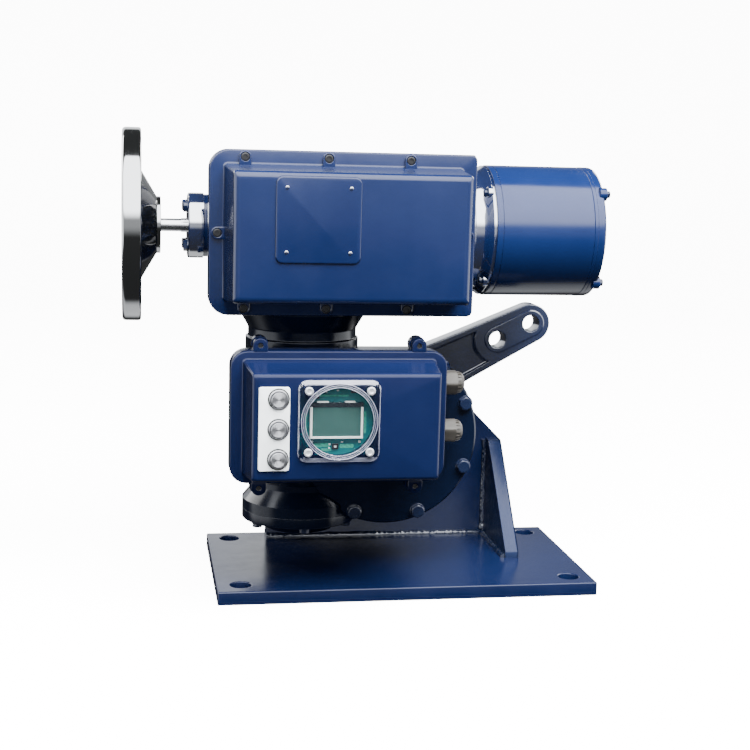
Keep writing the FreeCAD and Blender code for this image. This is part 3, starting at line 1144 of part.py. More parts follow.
# Worm shaft: one helical thread on a stepped shaft
turns = int(number("worm_turns"))
tip = worm_pitch + module
worm_root = worm_pitch - dedendum
half_pitch = lead / 4
lean = math.tan(PRESSURE)
sink = 0.6
profile = Part.makePolygon([
    V(worm_root - sink, 0, -half_pitch - (dedendum + sink) * lean), V(tip, 0, -half_pitch + module * lean),
    V(tip, 0, half_pitch - module * lean), V(worm_root - sink, 0, half_pitch + (dedendum + sink) * lean),
    V(worm_root - sink, 0, -half_pitch - (dedendum + sink) * lean)])
helix = Part.makeHelix(lead, lead * turns, worm_pitch)
thread = Part.Wire(helix.Edges).makePipeShell([profile], True, True)
thread.translate(V(0, 0, -lead * turns / 2))
core_half = lead * turns / 2 + 8
core = Part.makeCylinder(worm_root, 2 * core_half, V(0, 0, -core_half))
worm = feature(core.fuse(thread))
worm.Placement = FreeCAD.Placement(V(number(WORM_X), number("axis_y"), number("gear_z")), FreeCAD.Rotation())
APEX = "drive_z"
GEAR_TOP = f"({APEX} - 24)"
SHOULDER = "(worm_bearing_bore + 3)"
LOW_RACE = "(worm_bearing_low + worm_bearing_width)"
stem = turned("z", WORM_AXIS, [
    ("worm_bearing_low - 3", "0"), ("worm_bearing_low - 3", "worm_bearing_bore - 1"),
    ("worm_bearing_low - 1", "worm_bearing_bore"), (LOW_RACE, "worm_bearing_bore"),
    (f"{LOW_RACE} + 0.3", SHOULDER), ("worm_bearing_high - 0.3", SHOULDER),
    ("worm_bearing_high", "worm_bearing_bore"), (GEAR_TOP, "worm_bearing_bore"), (GEAR_TOP, "0")])
node("worm_shaft", fuse(worm, stem))

# Mitre gears: tapered involute teeth on a root cone, with a hub behind
count = int(number("mitre_teeth"))
mitre_pitch = module * count / 2
slope = math.sqrt(0.5)
cone = mitre_pitch / slope
inner = 1 - number("mitre_face") / cone
virtual = tooth_flank(count / slope, cone, cone - dedendum, cone + module, number("tooth_backlash") / 2)


def mitre_gear(bore, turn):
    """A gear about Z with its apex at the origin and its back face above."""
    run = [(r - cone, r * math.sin(a)) for r, a in virtual]
    run.insert(0, (run[0][0] - 0.8, run[0][1] + 0.2))
    section = [(h, -w) for h, w in run] + [(h, w) for h, w in run[::-1]]
    teeth_list = []
    for k in range(count):
        wires = []
        for size in (1, inner):
            corners = [V((mitre_pitch + h * slope) * size, w * size, (mitre_pitch - h * slope) * size)
                       for h, w in section]
            wires.append(Part.makePolygon(corners + corners[:1]))
        tooth = Part.makeLoft(wires, True, True)
        tooth.rotate(V(), V(0, 0, 1), turn + 360 * k / count)
        teeth_list.append(tooth)
    foot = mitre_pitch - dedendum * slope
    back = mitre_pitch + dedendum * slope
    hub = number("mitre_hub_radius")
    end = mitre_pitch + number("mitre_hub_length")
    blank = lathe([(bore, back * inner), (foot * inner, back * inner), (foot, back), (foot - 3, back + 3),
                   (hub, back + 3), (hub, end), (bore, end)])
    return feature(blank.fuse(teeth_list))


apex = V(number(WORM_X), number("axis_y"), number("drive_z"))
gear = mitre_gear(number("worm_bearing_bore"), 180 / count)
gear.Placement = FreeCAD.Placement(apex, FreeCAD.Rotation(V(1, 0, 0), 180))
node("bevel_gear", gear)
pinion = mitre_gear(number("drive_bearing_bore"), 0)
pinion.Placement = FreeCAD.Placement(apex, FreeCAD.Rotation(V(0, 1, 0), 90))
node("bevel_pinion", pinion)

# Drive shaft from the handwheel to the coupling
HUB_LEFT = "(web_left - 3)"
SHAFT_END = "(box_right + 14)"
node("drive_shaft", turned("x", DRIVE_AXIS, [
    (f"{HUB_LEFT} - 9", "0"), (f"{HUB_LEFT} - 9", "handwheel_bore - 2"), (HUB_LEFT, "handwheel_bore - 2"),
    (HUB_LEFT, "handwheel_bore"), ("shaft_step", "handwheel_bore"), ("shaft_step", "shaft_step_radius"),
    (CAP_SEAT, "shaft_step_radius"), (CAP_SEAT, "drive_bearing_bore"),
    (f"{RIGHT_SEAT} + drive_bearing_width", "drive_bearing_bore"),
    (f"{RIGHT_SEAT} + drive_bearing_width", "rotor_shaft"), (SHAFT_END, "rotor_shaft"), (SHAFT_END, "0")]))

# Handwheel: a dished wheel with a rounded rim, and its nut
RIM_RIGHT = "(wheel_left + rim_width)"
RIM_IN = "(rim_radius - rim_wall)"
HUB_RIGHT = "(web_left + 3)"
node("handwheel", turned("x", DRIVE_AXIS, [
    (HUB_RIGHT, "handwheel_bore"), (HUB_RIGHT, "handwheel_hub_radius"),
    (f"{HUB_RIGHT} - handwheel_hub_thick", "handwheel_hub_radius"), (f"{RIM_RIGHT} - 1.5", "web_radius"),
    (f"{RIM_RIGHT} - 1.5", f"{RIM_IN} - 1"), (RIM_RIGHT, RIM_IN), (RIM_RIGHT, "rim_radius - 5"),
    (f"{RIM_RIGHT} - 1.5", "rim_radius - 1.5"), (f"{RIM_RIGHT} - 5", "rim_radius"),
    ("wheel_left + 5", "rim_radius"), ("wheel_left + 1.5", "rim_radius - 1.5"), ("wheel_left", "rim_radius - 5"),
    ("wheel_left", f"{RIM_IN} + 3"), ("wheel_left + 3", RIM_IN), (f"{RIM_RIGHT} - web_thick", RIM_IN),
    (f"{RIM_RIGHT} - web_thick", "web_radius - 2"), (HUB_LEFT, "handwheel_hub_radius - 4"),
    (HUB_LEFT, "handwheel_bore")]))
node("handwheel_nut", cut(hexagon("x", DRIVE_AXIS, f"{HUB_LEFT} - 7", HUB_LEFT, "bolt_flats + 4"),
                          rod("x", DRIVE_AXIS, f"{HUB_LEFT} - 7", HUB_LEFT, "handwheel_bore - 2")))

# Coupling and rotor of the motor
COUPLING = ("(box_right + 9)", "(adapter_right - 2)")
MIDDLE = "((box_right + adapter_right + 7) / 2)"
jaws = [block((f"{MIDDLE} - 4", f"{MIDDLE} + 4"), ("axis_y - 4", "axis_y + 4"),
              (f"drive_z {sign} 12" if sign == "+" else "drive_z - coupling_radius",
               "drive_z + coupling_radius" if sign == "+" else "drive_z - 12")) for sign in "+-"]
node("motor_coupling", cut(turned("x", DRIVE_AXIS, [
    (COUPLING[0], "rotor_shaft"), (COUPLING[0], "coupling_radius - 6"), (f"{MIDDLE} - 4", "coupling_radius - 6"),
    (f"{MIDDLE} - 4", "coupling_radius"), (f"{MIDDLE} + 4", "coupling_radius"),
    (f"{MIDDLE} + 4", "coupling_radius - 6"), (COUPLING[1], "coupling_radius - 6"),
    (COUPLING[1], "rotor_shaft")]), *jaws))
node("rotor", turned("x", DRIVE_AXIS, [
    (f"{SHAFT_END} + 2", "0"), (f"{SHAFT_END} + 2", "rotor_shaft"), (f"{STACK_LOW} - 2", "rotor_shaft"),
    (f"{STACK_LOW} - 2", "stator_bore - 8"), (STACK_LOW, "stator_bore - 8"),
    (STACK_LOW, "stator_bore - rotor_gap"), (STACK_HIGH, "stator_bore - rotor_gap"),
    (STACK_HIGH, "stator_bore - 8"), (f"{STACK_HIGH} + 2", "stator_bore - 8"),
    (f"{STACK_HIGH} + 2", "rotor_shaft"), (f"{BACK_SEAT} + drive_bearing_width - 1", "rotor_shaft"),
    (f"{BACK_SEAT} + drive_bearing_width - 1", "0")]))

doc.recompute()
for item in doc.Objects:
    if {"Invalid", "Error"} & set(item.State):
        raise RuntimeError(f"{item.Name} {item.Label} failed: {item.State}")
for item in nodes:
    if item.Shape.isNull() or not item.Shape.isValid() or not item.Shape.Solids:
        raise RuntimeError(f"{item.Label} has no valid solid")
os.makedirs("parts", exist_ok=True)
for item in nodes:
    item.Shape.exportStep(f"parts/{item.Label}.step")
print(len(nodes), "nodes")
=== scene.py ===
import json
import math
import random
import bmesh
import bpy
from mathutils import Matrix, Vector


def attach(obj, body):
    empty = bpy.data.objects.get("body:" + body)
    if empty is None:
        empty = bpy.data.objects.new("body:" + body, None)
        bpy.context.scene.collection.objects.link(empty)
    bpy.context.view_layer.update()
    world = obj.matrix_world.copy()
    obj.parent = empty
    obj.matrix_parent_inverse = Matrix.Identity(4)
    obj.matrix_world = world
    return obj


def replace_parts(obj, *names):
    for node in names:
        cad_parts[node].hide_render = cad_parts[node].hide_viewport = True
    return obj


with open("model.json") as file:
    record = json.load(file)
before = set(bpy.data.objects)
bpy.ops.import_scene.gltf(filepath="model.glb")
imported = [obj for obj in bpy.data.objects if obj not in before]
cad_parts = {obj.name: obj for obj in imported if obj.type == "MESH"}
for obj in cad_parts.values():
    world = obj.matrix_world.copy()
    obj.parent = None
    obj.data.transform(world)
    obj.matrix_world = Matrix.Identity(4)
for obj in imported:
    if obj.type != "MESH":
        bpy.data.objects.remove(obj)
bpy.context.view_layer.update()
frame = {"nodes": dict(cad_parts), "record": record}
nodes = frame["nodes"]
MM = 0.001

# Places in millimetres, in the part's own frame. A spot has the two coordinates across its axis
AXIS_Y, DRIVE_Z = 10, 376
GEAR_X, GEAR_Z = -17, 160
WORM_X = -105
DRIVE, DRIVE_SPOT = (0, AXIS_Y, DRIVE_Z), (AXIS_Y, DRIVE_Z)
WORM, WORM_SPOT = (WORM_X, AXIS_Y, 0), (WORM_X, AXIS_Y)
GEAR, GEAR_SPOT = (GEAR_X, 0, GEAR_Z), (GEAR_X, GEAR_Z)
PLATE_FRONT, PLATE_REAR = 90, 104
HUB_END = 162


# Node trees
def preset(node, values):
    for key, value in values.items():
        node.inputs[key].default_value = value
    return node


def new_material(name, roughness, metallic=0.0, coat=0.0, ior=1.5):
    mat = bpy.data.materials.new(name)
    mat.use_nodes = True
    bsdf = preset(mat.node_tree.nodes["Principled BSDF"], {
        "Metallic": metallic, "Roughness": roughness, "IOR": ior,
        "Coat Weight": coat, "Coat Roughness": 0.05})
    return mat, mat.node_tree, bsdf


def noise(tree, scale, detail=2.0, rough=0.5, stretch=None):
    """Object-space noise. The scale counts features per metre."""
    out = tree.nodes.new("ShaderNodeTexCoord").outputs["Object"]
    if stretch:
        mapping = preset(tree.nodes.new("ShaderNodeMapping"), {"Scale": stretch})
        tree.links.new(out, mapping.inputs["Vector"])
        out = mapping.outputs["Vector"]
    node = tree.nodes.new("ShaderNodeTexNoise")
    preset(node, {"Scale": scale, "Detail": detail, "Roughness": rough})
    tree.links.new(out, node.inputs["Vector"])
    return node.outputs["Fac"]


def ramp(tree, fac, dark, light, edge=0.3):
    """Runs from the dark to the light colour. Each is level over this share at its end."""
    node = tree.nodes.new("ShaderNodeValToRGB")
    for element, position, colour in zip(node.color_ramp.elements, (edge, 1 - edge), (dark, light)):
        element.position = position
        element.color = (*colour, 1)
    tree.links.new(fac, node.inputs["Fac"])
    return node.outputs["Color"]


def span(tree, fac, low, high):
    """Maps the range from 0 to 1 onto the one from low to high."""
    node = preset(tree.nodes.new("ShaderNodeMapRange"), {"To Min": low, "To Max": high})
    tree.links.new(fac, node.inputs["Value"])
    return node.outputs["Result"]


def bump(tree, layers):
    """Stacks height layers given as (height socket, strength, distance in metres)."""
    normal = None
    for fac, strength, distance in layers:
        node = preset(tree.nodes.new("ShaderNodeBump"), {"Strength": strength, "Distance": distance})
        tree.links.new(fac, node.inputs["Height"])
        if normal:
            tree.links.new(normal, node.inputs["Normal"])
        normal = node.outputs["Normal"]
    return normal


def dress(tree, bsdf, colour, layers, roughness=None):
    """Links the colour, the bump layers and, where it varies, the roughness to the shader."""
    tree.links.new(colour, bsdf.inputs["Base Color"])
    tree.links.new(bump(tree, layers), bsdf.inputs["Normal"])
    if roughness:
        tree.links.new(roughness, bsdf.inputs["Roughness"])


def shade(colour, share):
    return tuple(c * share for c in colour)


# Depths of the bump layers, in metres
CAST_WAVE, MOULD_WAVE, PEEL_WAVE, FINE_GRAIN = 0.0006, 0.0003, 0.0002, 0.0001


def enamel(name, deep, light, roughness, cast, peel, gloss=1.5, coat=0.0, ior=1.5):
    """Thick enamel: orange peel over the soft waves of a casting, and a varnish where asked."""
    mat, tree, bsdf = new_material(name, roughness, coat=coat, ior=ior)
    bsdf.inputs["Coat IOR"].default_value = gloss
    dress(tree, bsdf, ramp(tree, noise(tree, 9, 4, 0.55), deep, light, 0.28),
          [(noise(tree, 60, 3), cast, CAST_WAVE), (noise(tree, 420), peel, PEEL_WAVE)],
          span(tree, noise(tree, 35, 3, 0.6), roughness - 0.07, roughness + 0.12))
    return mat


def metal(name, colour, roughness, stretch=None, grain=600):
    """Metal whose grain runs along the axis that is stretched least."""
    mat, tree, bsdf = new_material(name, roughness, metallic=1.0)
    tone = noise(tree, grain, 2, 0.6, stretch)
    dress(tree, bsdf, ramp(tree, tone, shade(colour, 0.82), colour), [(tone, 0.08, FINE_GRAIN)],
          span(tree, tone, roughness - 0.08, roughness + 0.08))
    return mat


def plastic(name, colour, roughness, grain=900, depth=0.15):
    mat, tree, bsdf = new_material(name, roughness)
    dress(tree, bsdf, ramp(tree, noise(tree, 40, 3), shade(colour, 0.85), colour),
          [(noise(tree, grain), depth, FINE_GRAIN)],
          span(tree, noise(tree, 90), roughness - 0.06, roughness + 0.08))
    return mat


def frosted(name, colour, roughness):
    mat, tree, bsdf = new_material(name, roughness)
    tone = noise(tree, 420, 3, 0.6)
    dress(tree, bsdf, ramp(tree, tone, shade(colour, 0.55), colour, 0.35), [(tone, 0.35, MOULD_WAVE)])
    return mat


def clear(name, colour, alpha, roughness, ior):
    """See-through plastic: a dark body, glossy skin and faint moulding waves."""
    mat, tree, bsdf = new_material(name, roughness, ior=ior)
    bsdf.inputs["Alpha"].default_value = alpha
    tone = noise(tree, 70)
    dress(tree, bsdf, ramp(tree, tone, shade(colour, 0.8), colour), [(tone, 0.05, MOULD_WAVE)])
    return mat


BLUE = enamel("blue_enamel", (0.0030, 0.0072, 0.032), (0.0040, 0.0092, 0.039), 0.17, 0.10, 0.05, ior=1.46)
BLUE_MOTOR = enamel("blue_enamel_motor", (0.0036, 0.0095, 0.044), (0.0046, 0.0120, 0.052),
                    0.14, 0.06, 0.03, ior=1.42)
# Darker copy of the blue enamel with weaker reflection: painted shade for the control box, which sits in the
# shade of the drive box above
BLUE_PAINTED_SHADE = enamel("blue_enamel_painted_shade", (0.0030, 0.0058, 0.026), (0.0040, 0.0076, 0.032),
                    0.16, 0.10, 0.05, ior=1.28)
BLUE_GLOSS = enamel("blue_enamel_gloss", (0.0027, 0.0075, 0.034), (0.0036, 0.0100, 0.044),
                    0.15, 0.2, 0.05, 4.2, 1.0)
# Lighter copy of the blue enamel for the crank arm: painted light, since the arm gets little light in the key
# light's shade
BLUE_ARM_PAINTED_LIGHT = enamel("blue_enamel_arm_painted_light", (0.0075, 0.0140, 0.045), (0.0095, 0.0180, 0.056),
                  0.2, 0.25, 0.1, 1.65, 1.0)
BLUE_ROUGH = enamel("blue_enamel_rough", (0.0036, 0.0075, 0.026), (0.0050, 0.0105, 0.036),
                    0.30, 0.9, 0.5, ior=1.3)
BLUE_BASE = enamel("blue_enamel_base", (0.0024, 0.0056, 0.025), (0.0032, 0.0074, 0.032),
                   0.19, 0.16, 0.12, ior=1.4)
# Darkest, greyer copy of the blue enamel with weak reflection: painted shade for the lower gearbox, its neck
# and end cover, which sit deep in shade
BLUE_PAINTED_DEEP_SHADE = enamel("blue_enamel_painted_deep_shade", (0.0014, 0.0034, 0.0110), (0.0022, 0.0048, 0.0155),
                   0.17, 0.25, 0.1, ior=1.27)
BLUE_BOLT = enamel("blue_enamel_bolts", (0.0022, 0.0050, 0.018), (0.0036, 0.0085, 0.030), 0.22, 0.5, 0.3)
WELD = enamel("blue_enamel_weld", (0.0016, 0.0040, 0.014), (0.0026, 0.0065, 0.022), 0.2, 1.0, 0.7, 1.45, 0.6)
BLACK = enamel("black_enamel", (0.0012, 0.0014, 0.0014), (0.0022, 0.0025, 0.0025), 0.12, 0.08, 0.03, 3.4, 1.0)
OXIDE = plastic("black_oxide", (0.006, 0.006, 0.007), 0.32, 1400, 0.1)
STEEL = metal("turned_steel", (0.62, 0.62, 0.64), 0.28, (1, 14, 14))
DARK_STEEL = metal("blackened_steel", (0.10, 0.10, 0.11), 0.42)
STAINLESS = metal("brushed_stainless", (0.74, 0.74, 0.75), 0.27, (1, 30, 1), 500)
CAP_STEEL = metal("button_steel", (0.34, 0.34, 0.35), 0.3, (1, 30, 1), 500)
BRONZE = metal("bronze", (0.55, 0.34, 0.12), 0.35)
COPPER = metal("windings", (0.48, 0.22, 0.10), 0.45)
RUBBER = plastic("seal_rubber", (0.012, 0.012, 0.012), 0.7)
GLAND = plastic("gland_plastic", (0.030, 0.027, 0.023), 0.5)
WHITE = plastic("plate_white", (0.90, 0.95, 0.98), 0.42)
BOARD = plastic("circuit_board", (0.0, 0.13, 0.14), 0.35)
GREY = plastic("display_grey", (0.52, 0.56, 0.56), 0.4)
CLEAR = clear("clear_acrylic", (0.012, 0.018, 0.032), 0.14, 0.05, 1.8)
# Pale tint of the bezel's edges and ring lines: partly the frosted look of cut acrylic, partly painted
# highlight on their rounded edges
EDGE = clear("acrylic_edge_and_painted_highlight", (0.30, 0.32, 0.42), 0.55, 0.14, 2.6)
ZINC = metal("zinc_screw", (0.93, 0.93, 0.95), 0.42)
SCREEN = plastic("lcd_screen", (0.033, 0.085, 0.075), 0.22, 1500, 0.05)
STRIP = plastic("lcd_black_strip", (0.010, 0.013, 0.013), 0.25)
POUR = frosted("board_bright_green", (0.05, 0.42, 0.30), 0.3)
CHIP = plastic("chip_black", (0.008, 0.008, 0.009), 0.35)
PAINT_WHITE = plastic("component_white", (0.75, 0.80, 0.78), 0.3)

SLOT_MATERIAL = {
    "blue_enamel": BLUE, "black_enamel": BLACK, "steel": STEEL, "dark_steel": DARK_STEEL,
    "stainless": STAINLESS, "bronze": BRONZE, "seal_rubber": RUBBER, "iron": DARK_STEEL,
    "copper_winding": COPPER, "grey_plastic": GREY, "plate_white": WHITE, "gland_plastic": GLAND,
    "board_green": BOARD,
}

# The gearbox housing and cover, and the control body, wear darker copies of the enamel: painted shade
NODE_MATERIAL = {"gearbox_housing": BLUE_PAINTED_DEEP_SHADE, "gearbox_cover": BLUE_PAINTED_DEEP_SHADE, "rear_plate": BLUE_BASE,
                 "control_body": BLUE_PAINTED_SHADE, "window_glass": CLEAR}


# Smooth shading up to an angle between faces, kept as a modifier
SMOOTH_UP_TO = math.radians(32)


def shading_group():
    group = bpy.data.node_groups.new("smooth_by_angle", "GeometryNodeTree")
    group.interface.new_socket("Geometry", in_out="INPUT", socket_type="NodeSocketGeometry")
    group.interface.new_socket("Geometry", in_out="OUTPUT", socket_type="NodeSocketGeometry")
    start = group.nodes.new("NodeGroupInput")
    end = group.nodes.new("NodeGroupOutput")
    merge = group.nodes.new("GeometryNodeMergeByDistance")
    merge.inputs["Distance"].default_value = 1e-6
    faces = group.nodes.new("GeometryNodeSetShadeSmooth")
    faces.domain = "FACE"
    edges = group.nodes.new("GeometryNodeSetShadeSmooth")
    edges.domain = "EDGE"
    edges.inputs["Shade Smooth"].default_value = False
    angle = group.nodes.new("GeometryNodeInputMeshEdgeAngle")
    test = group.nodes.new("FunctionNodeCompare")
    test.data_type = "FLOAT"
    test.operation = "GREATER_THAN"
    test.inputs[1].default_value = SMOOTH_UP_TO
    link = group.links.new
    link(start.outputs[0], merge.inputs["Geometry"])
    link(merge.outputs["Geometry"], faces.inputs["Geometry"])
    link(faces.outputs["Geometry"], edges.inputs["Geometry"])
    link(angle.outputs["Unsigned Angle"], test.inputs[0])
    link(test.outputs[0], edges.inputs["Selection"])
    link(edges.outputs["Geometry"], end.inputs[0])
    return group


SHADING = shading_group()


def smooth(obj):
    obj.modifiers.new("shading", "NODES").node_group = SHADING


slot_of = {row["node"]: row["material_slot"] for row in frame["record"]["subparts"]}
for name, obj in nodes.items():
    smooth(obj)
    material = NODE_MATERIAL.get(name) or SLOT_MATERIAL.get(slot_of.get(name))
    if material:
        obj.data.materials.clear()
        obj.data.materials.append(material)


# Pieces. Shapes are in millimetres until finish_mesh turns them into an object that rides on a body
def new_object(name, data):
    obj = bpy.data.objects.new(name, data)
    bpy.context.scene.collection.objects.link(obj)
    return obj


def finish_mesh(bm, name, body, material):
    mesh = bpy.data.meshes.new(name)
    bmesh.ops.recalc_face_normals(bm, faces=bm.faces)
    for vert in bm.verts:
        vert.co *= MM
    bm.to_mesh(mesh)
    bm.free()
    mesh.materials.append(material)
    obj = new_object(name, mesh)
    smooth(obj)
    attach(obj, body)
    return obj


# Points. A station lies along an axis, u and w across it
def place(axis, station, u, w):
    return Vector({"x": (station, u, w), "y": (u, station, w), "z": (u, w, station)}[axis])


def level(axis, station, points):
    return [place(axis, station, u, w) for u, w in points]


def angles(count):
    return [2 * math.pi * i / count for i in range(count)]


def polar(u0, w0, radius, angle):
    return u0 + radius * math.cos(angle), w0 + radius * math.sin(angle)


def circle(u0, w0, radius, count=48):
    return [polar(u0, w0, radius, a) for a in angles(count)]


def arc(u0, w0, radius, start, end, count):
    """Points of an arc, its angles in degrees."""
    return [polar(u0, w0, radius, math.radians(start + (end - start) * i / count)) for i in range(count + 1)]


def spots_on_ring(centre, radius, count, start):
    return [polar(*centre, radius, math.radians(start + 360 * i / count)) for i in range(count)]


def four_spots(u0, w0, du, dw):
    return [(u0 + i * du, w0 + k * dw) for i in (-1, 1) for k in (-1, 1)]


def corners(left, low, right, high, radii, count=6, straight=1):
    """A rounded rectangle, its sides in steps where asked. The radii go round from the lower left."""
    if not isinstance(radii, tuple):
        radii = (radii,) * 4
    ll, lr, ur, ul = [max(r, 0.3) for r in radii]
    points = []
    for u, w, r, start in ((left + ll, low + ll, ll, 180), (right - lr, low + lr, lr, 270),
                           (right - ur, high - ur, ur, 0), (left + ul, high - ul, ul, 90)):
        points += arc(u, w, r, start, start + 90, count)
    dense = []
    for i, (u, w) in enumerate(points):
        dense.append((u, w))
        if i % (count + 1) == count:
            u2, w2 = points[(i + 1) % len(points)]
            dense += [(u + (u2 - u) * k / straight, w + (w2 - w) * k / straight) for k in range(1, straight)]
    return dense


def grown(rect, out, radii, count=6, straight=1):
    """A rounded rectangle moved outwards by a distance, or inwards where it is below zero."""
    left, low, right, high = rect
    return corners(left - out, low - out, right + out, high + out, radii, count, straight)


def quarter(radius, count=4, convex=True):
    """(depth, inset) pairs of a rounded edge, from its side to its face, or of a hollow fillet."""
    turns = [math.radians(90 * i / count) for i in range(count + 1)]
    pairs = [(radius * math.sin(a), radius * (1 - math.cos(a))) for a in turns]
    return pairs if convex else [(inset, depth) for depth, inset in pairs]


def soften(points, closed=True, count=5):
    """Rounds the corners of a (station, radius, fillet) outline."""
    out = []
    total = len(points)
    for i, spot in enumerate(points):
        s, r = spot[:2]
        fillet = spot[2] if len(spot) > 2 else 0
        if not fillet or (not closed and i in (0, total - 1)):
            out.append((s, r))
            continue
        before, after = points[i - 1][:2], points[(i + 1) % total][:2]
        here = Vector((s, r))
        one, two = Vector(before) - here, Vector(after) - here
        turn = one.angle(two)
        run = min(fillet / math.tan(turn / 2), one.length * 0.49, two.length * 0.49)
        start, end = here + one.normalized() * run, here + two.normalized() * run
        for k in range(count + 1):
            t = k / count
            mid = (1 - t) ** 2 * start + 2 * t * (1 - t) * here + t * t * end
            out.append((mid.x, mid.y))
    return out


def hex_radius(flats, turn):
    """The distance from a hexagon's middle to its outline, as a function of the angle."""
    def at(angle):
        a = (angle - turn + math.pi / 6) % (math.pi / 3) - math.pi / 6
        return flats / 2 / math.cos(a)
    return at


# Skins through rows of points
def join(bm, rows):
    for a, b in zip(rows, rows[1:]):
        for i in range(len(a)):
            k = (i + 1) % len(a)
            bm.faces.new((a[i], a[k], b[k], b[i]))


def rings(bm, loops, last=True, closed=False):
    """Joins equal loops of points into a skin, and closes it into a ring or at its ends."""
    rows = [[bm.verts.new(p) for p in loop] for loop in loops]
    join(bm, rows + rows[:1] if closed else rows)
    if not closed:
        bm.faces.new(rows[0][::-1])
        if last:
            bm.faces.new(rows[-1])


def slab(bm, axis, levels):
    """A closed skin through (station, points) levels."""
    rings(bm, [level(axis, s, points) for s, points in levels])


def lathe(bm, axis, centre, points, steps, closed=True):
    """Revolves (station, radius) points about an axis through a centre."""
    rows = []
    for station, radius in points:
        turns = angles(steps) if radius >= 1e-6 else [0.0]
        points_here = [place(axis, station, *polar(0, 0, radius, a)) for a in turns]
        rows.append([bm.verts.new(point + Vector(centre)) for point in points_here])
    pairs = list(zip(rows, rows[1:]))
    if closed:
        pairs.append((rows[-1], rows[0]))
    for a, b in pairs:
        if len(a) == 1 and len(b) == 1:
            continue
        for i in range(steps):
            k = (i + 1) % steps
            if len(a) == 1:
                bm.faces.new((a[0], b[i], b[k]))
            elif len(b) == 1:
                bm.faces.new((a[i], b[0], a[k]))
            else:
                bm.faces.new((a[i], b[i], b[k], a[k]))


def turned(name, node, axis, centre, outline, material=None, steps=128, count=5, extra=None, body="frame"):
    """A lathe piece with rounded corners that takes a node's place."""
    bm = bmesh.new()
    lathe(bm, axis, centre, soften(outline, True, count), steps)
    if extra:
        extra(bm)
    slot = slot_of[node]
    piece = finish_mesh(bm, name, body, material or SLOT_MATERIAL[slot])
    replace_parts(piece, node)


# Lathe-turned parts of the drive line, with their corners rounded
WHEEL_HUB, CAP_FACE = -261.7, -228
ADAPTER_RING, ADAPTER_EAR = 65, 81.4
MOTOR_RING, MOTOR_EAR = 67, 210.5


def motor_spots(radius):
    return spots_on_ring(DRIVE_SPOT, radius, 4, 50.4)


def ears(radius, low, high):
    """Rounded ears round the four motor bolts."""
    def make(bm):
        for spot in motor_spots(radius):
            lathe(bm, "x", place("x", 0, *spot),
                  soften([(low, 0), (low, 7, 0.8), (high, 7, 0.8), (high, 0)], False, 3), 32, False)
    return make


turned("handwheel_wheel", "handwheel", "x", DRIVE, [
    (-255.7, 6.7), (-255.7, 29.5, 0.6), (-259.7, 29.5, 0.8), (-277.2, 59, 5), (-277.2, 86, 2),
    (-275.7, 86.8, 1), (-275.7, 100, 3), (-295.2, 100, 4.5), (-295.2, 86, 2.5), (-281.7, 86, 3),
    (-281.7, 57, 8), (WHEEL_HUB, 25.5, 5), (WHEEL_HUB, 6.7)], steps=160, count=7, body="drive")
turned("motor_drum", "motor_housing", "x", DRIVE, [
    (89.4, 21), (89.4, 70, 0.9), (95.6, 70, 0.4), (95.6, 69.3), (96.2, 69.3), (96.2, 70, 0.4),
    (194.5, 70, 0.4), (194.5, 62), (105.4, 62), (105.4, 17), (101.4, 17), (101.4, 21)], BLUE_MOTOR, 160)
turned("motor_cap_dome", "motor_end_cap", "x", DRIVE, [
    (194.5, 60), (194.5, 69.4), (195.1, 70.3, 0.3), (198.3, 70.3, 0.4), (198.6, 69.9), (199.1, 70.2, 0.3),
    (208, 70.2, 5), (208, 36, 0.6), (207.1, 35), (207.1, 0), (202, 0), (202, 60)],
    BLUE_MOTOR, 160, extra=ears(MOTOR_RING, 202.5, MOTOR_EAR))
turned("adapter_neck", "motor_adapter", "x", DRIVE, [
    (64, 15), (64, 65, 0.8), (67, 65, 0.8), (68, 63, 1), (77, 63, 14), (85.9, 69.5, 0.8), (86.9, 69.5, 0.6),
    (86.9, 67.5), (89.4, 67.5), (89.4, 56), (72, 56), (72, 15)],
    BLUE_GLOSS, 160, 8, ears(ADAPTER_RING, ADAPTER_EAR, 86.9))
turned("shaft_cap_turned", "shaft_cap", "x", DRIVE, [
    (CAP_FACE, 7.7), (CAP_FACE, 34, 2.6), (-211.5, 34, 0.6), (-211.5, 21), (-223.5, 21), (-223.5, 7.7)],
    BLUE_GLOSS)
# The neck and the worm's end cover wear the darkest copy of the enamel, painted shade
turned("neck_turned", "neck_column", "z", WORM, [
    (250, 44), (250, 60.5, 1), (260, 60.5, 1.2), (260, 58, 1.5), (270, 58, 4), (288, 68.5, 0.6), (290, 68.5),
    (290, 44)], BLUE_PAINTED_DEEP_SHADE)
turned("end_cover_dome", "worm_end_cover", "z", WORM, [
    (72, 31), (72, 62, 0.5), (61, 62, 1.2), (61, 48, 1), (57, 47, 2), (51, 39, 5), (48, 28, 5), (48, 0),
    (60, 0), (60, 31)], BLUE_PAINTED_DEEP_SHADE)


# Fasteners: chamfered hexagon heads on washers, and socket heads
def hex_bolt(bm, axis, spot, face, way, flats, head, washer=0.0, turn=0.0):
    """A chamfered hexagon head, on a washer where asked. The head's height includes the washer."""
    base = face
    if washer:
        outer = flats * 0.62
        slab(bm, axis, [(face + way * up, circle(*spot, radius, 24)) for up, radius in (
            (0, outer), (washer - 0.3, outer), (washer, outer - 0.3))])
        base = face + way * (washer - 0.05)
        head -= washer
    at = hex_radius(flats, turn)
    turns = angles(24)
    loops = [[place(axis, base, *polar(*spot, at(a), a)) for a in turns]]
    loops.append([place(axis, base + way * (head - (at(a) - flats / 2) * 0.6 - 0.35), *polar(*spot, at(a), a))
                  for a in turns])
    for inset, drop in ((0.12, 0.12), (0.5, 0.0), (1.4, 0.0)):
        loops.append(level(axis, base + way * (head - drop), circle(*spot, flats / 2 - inset, 24)))
    rings(bm, loops)


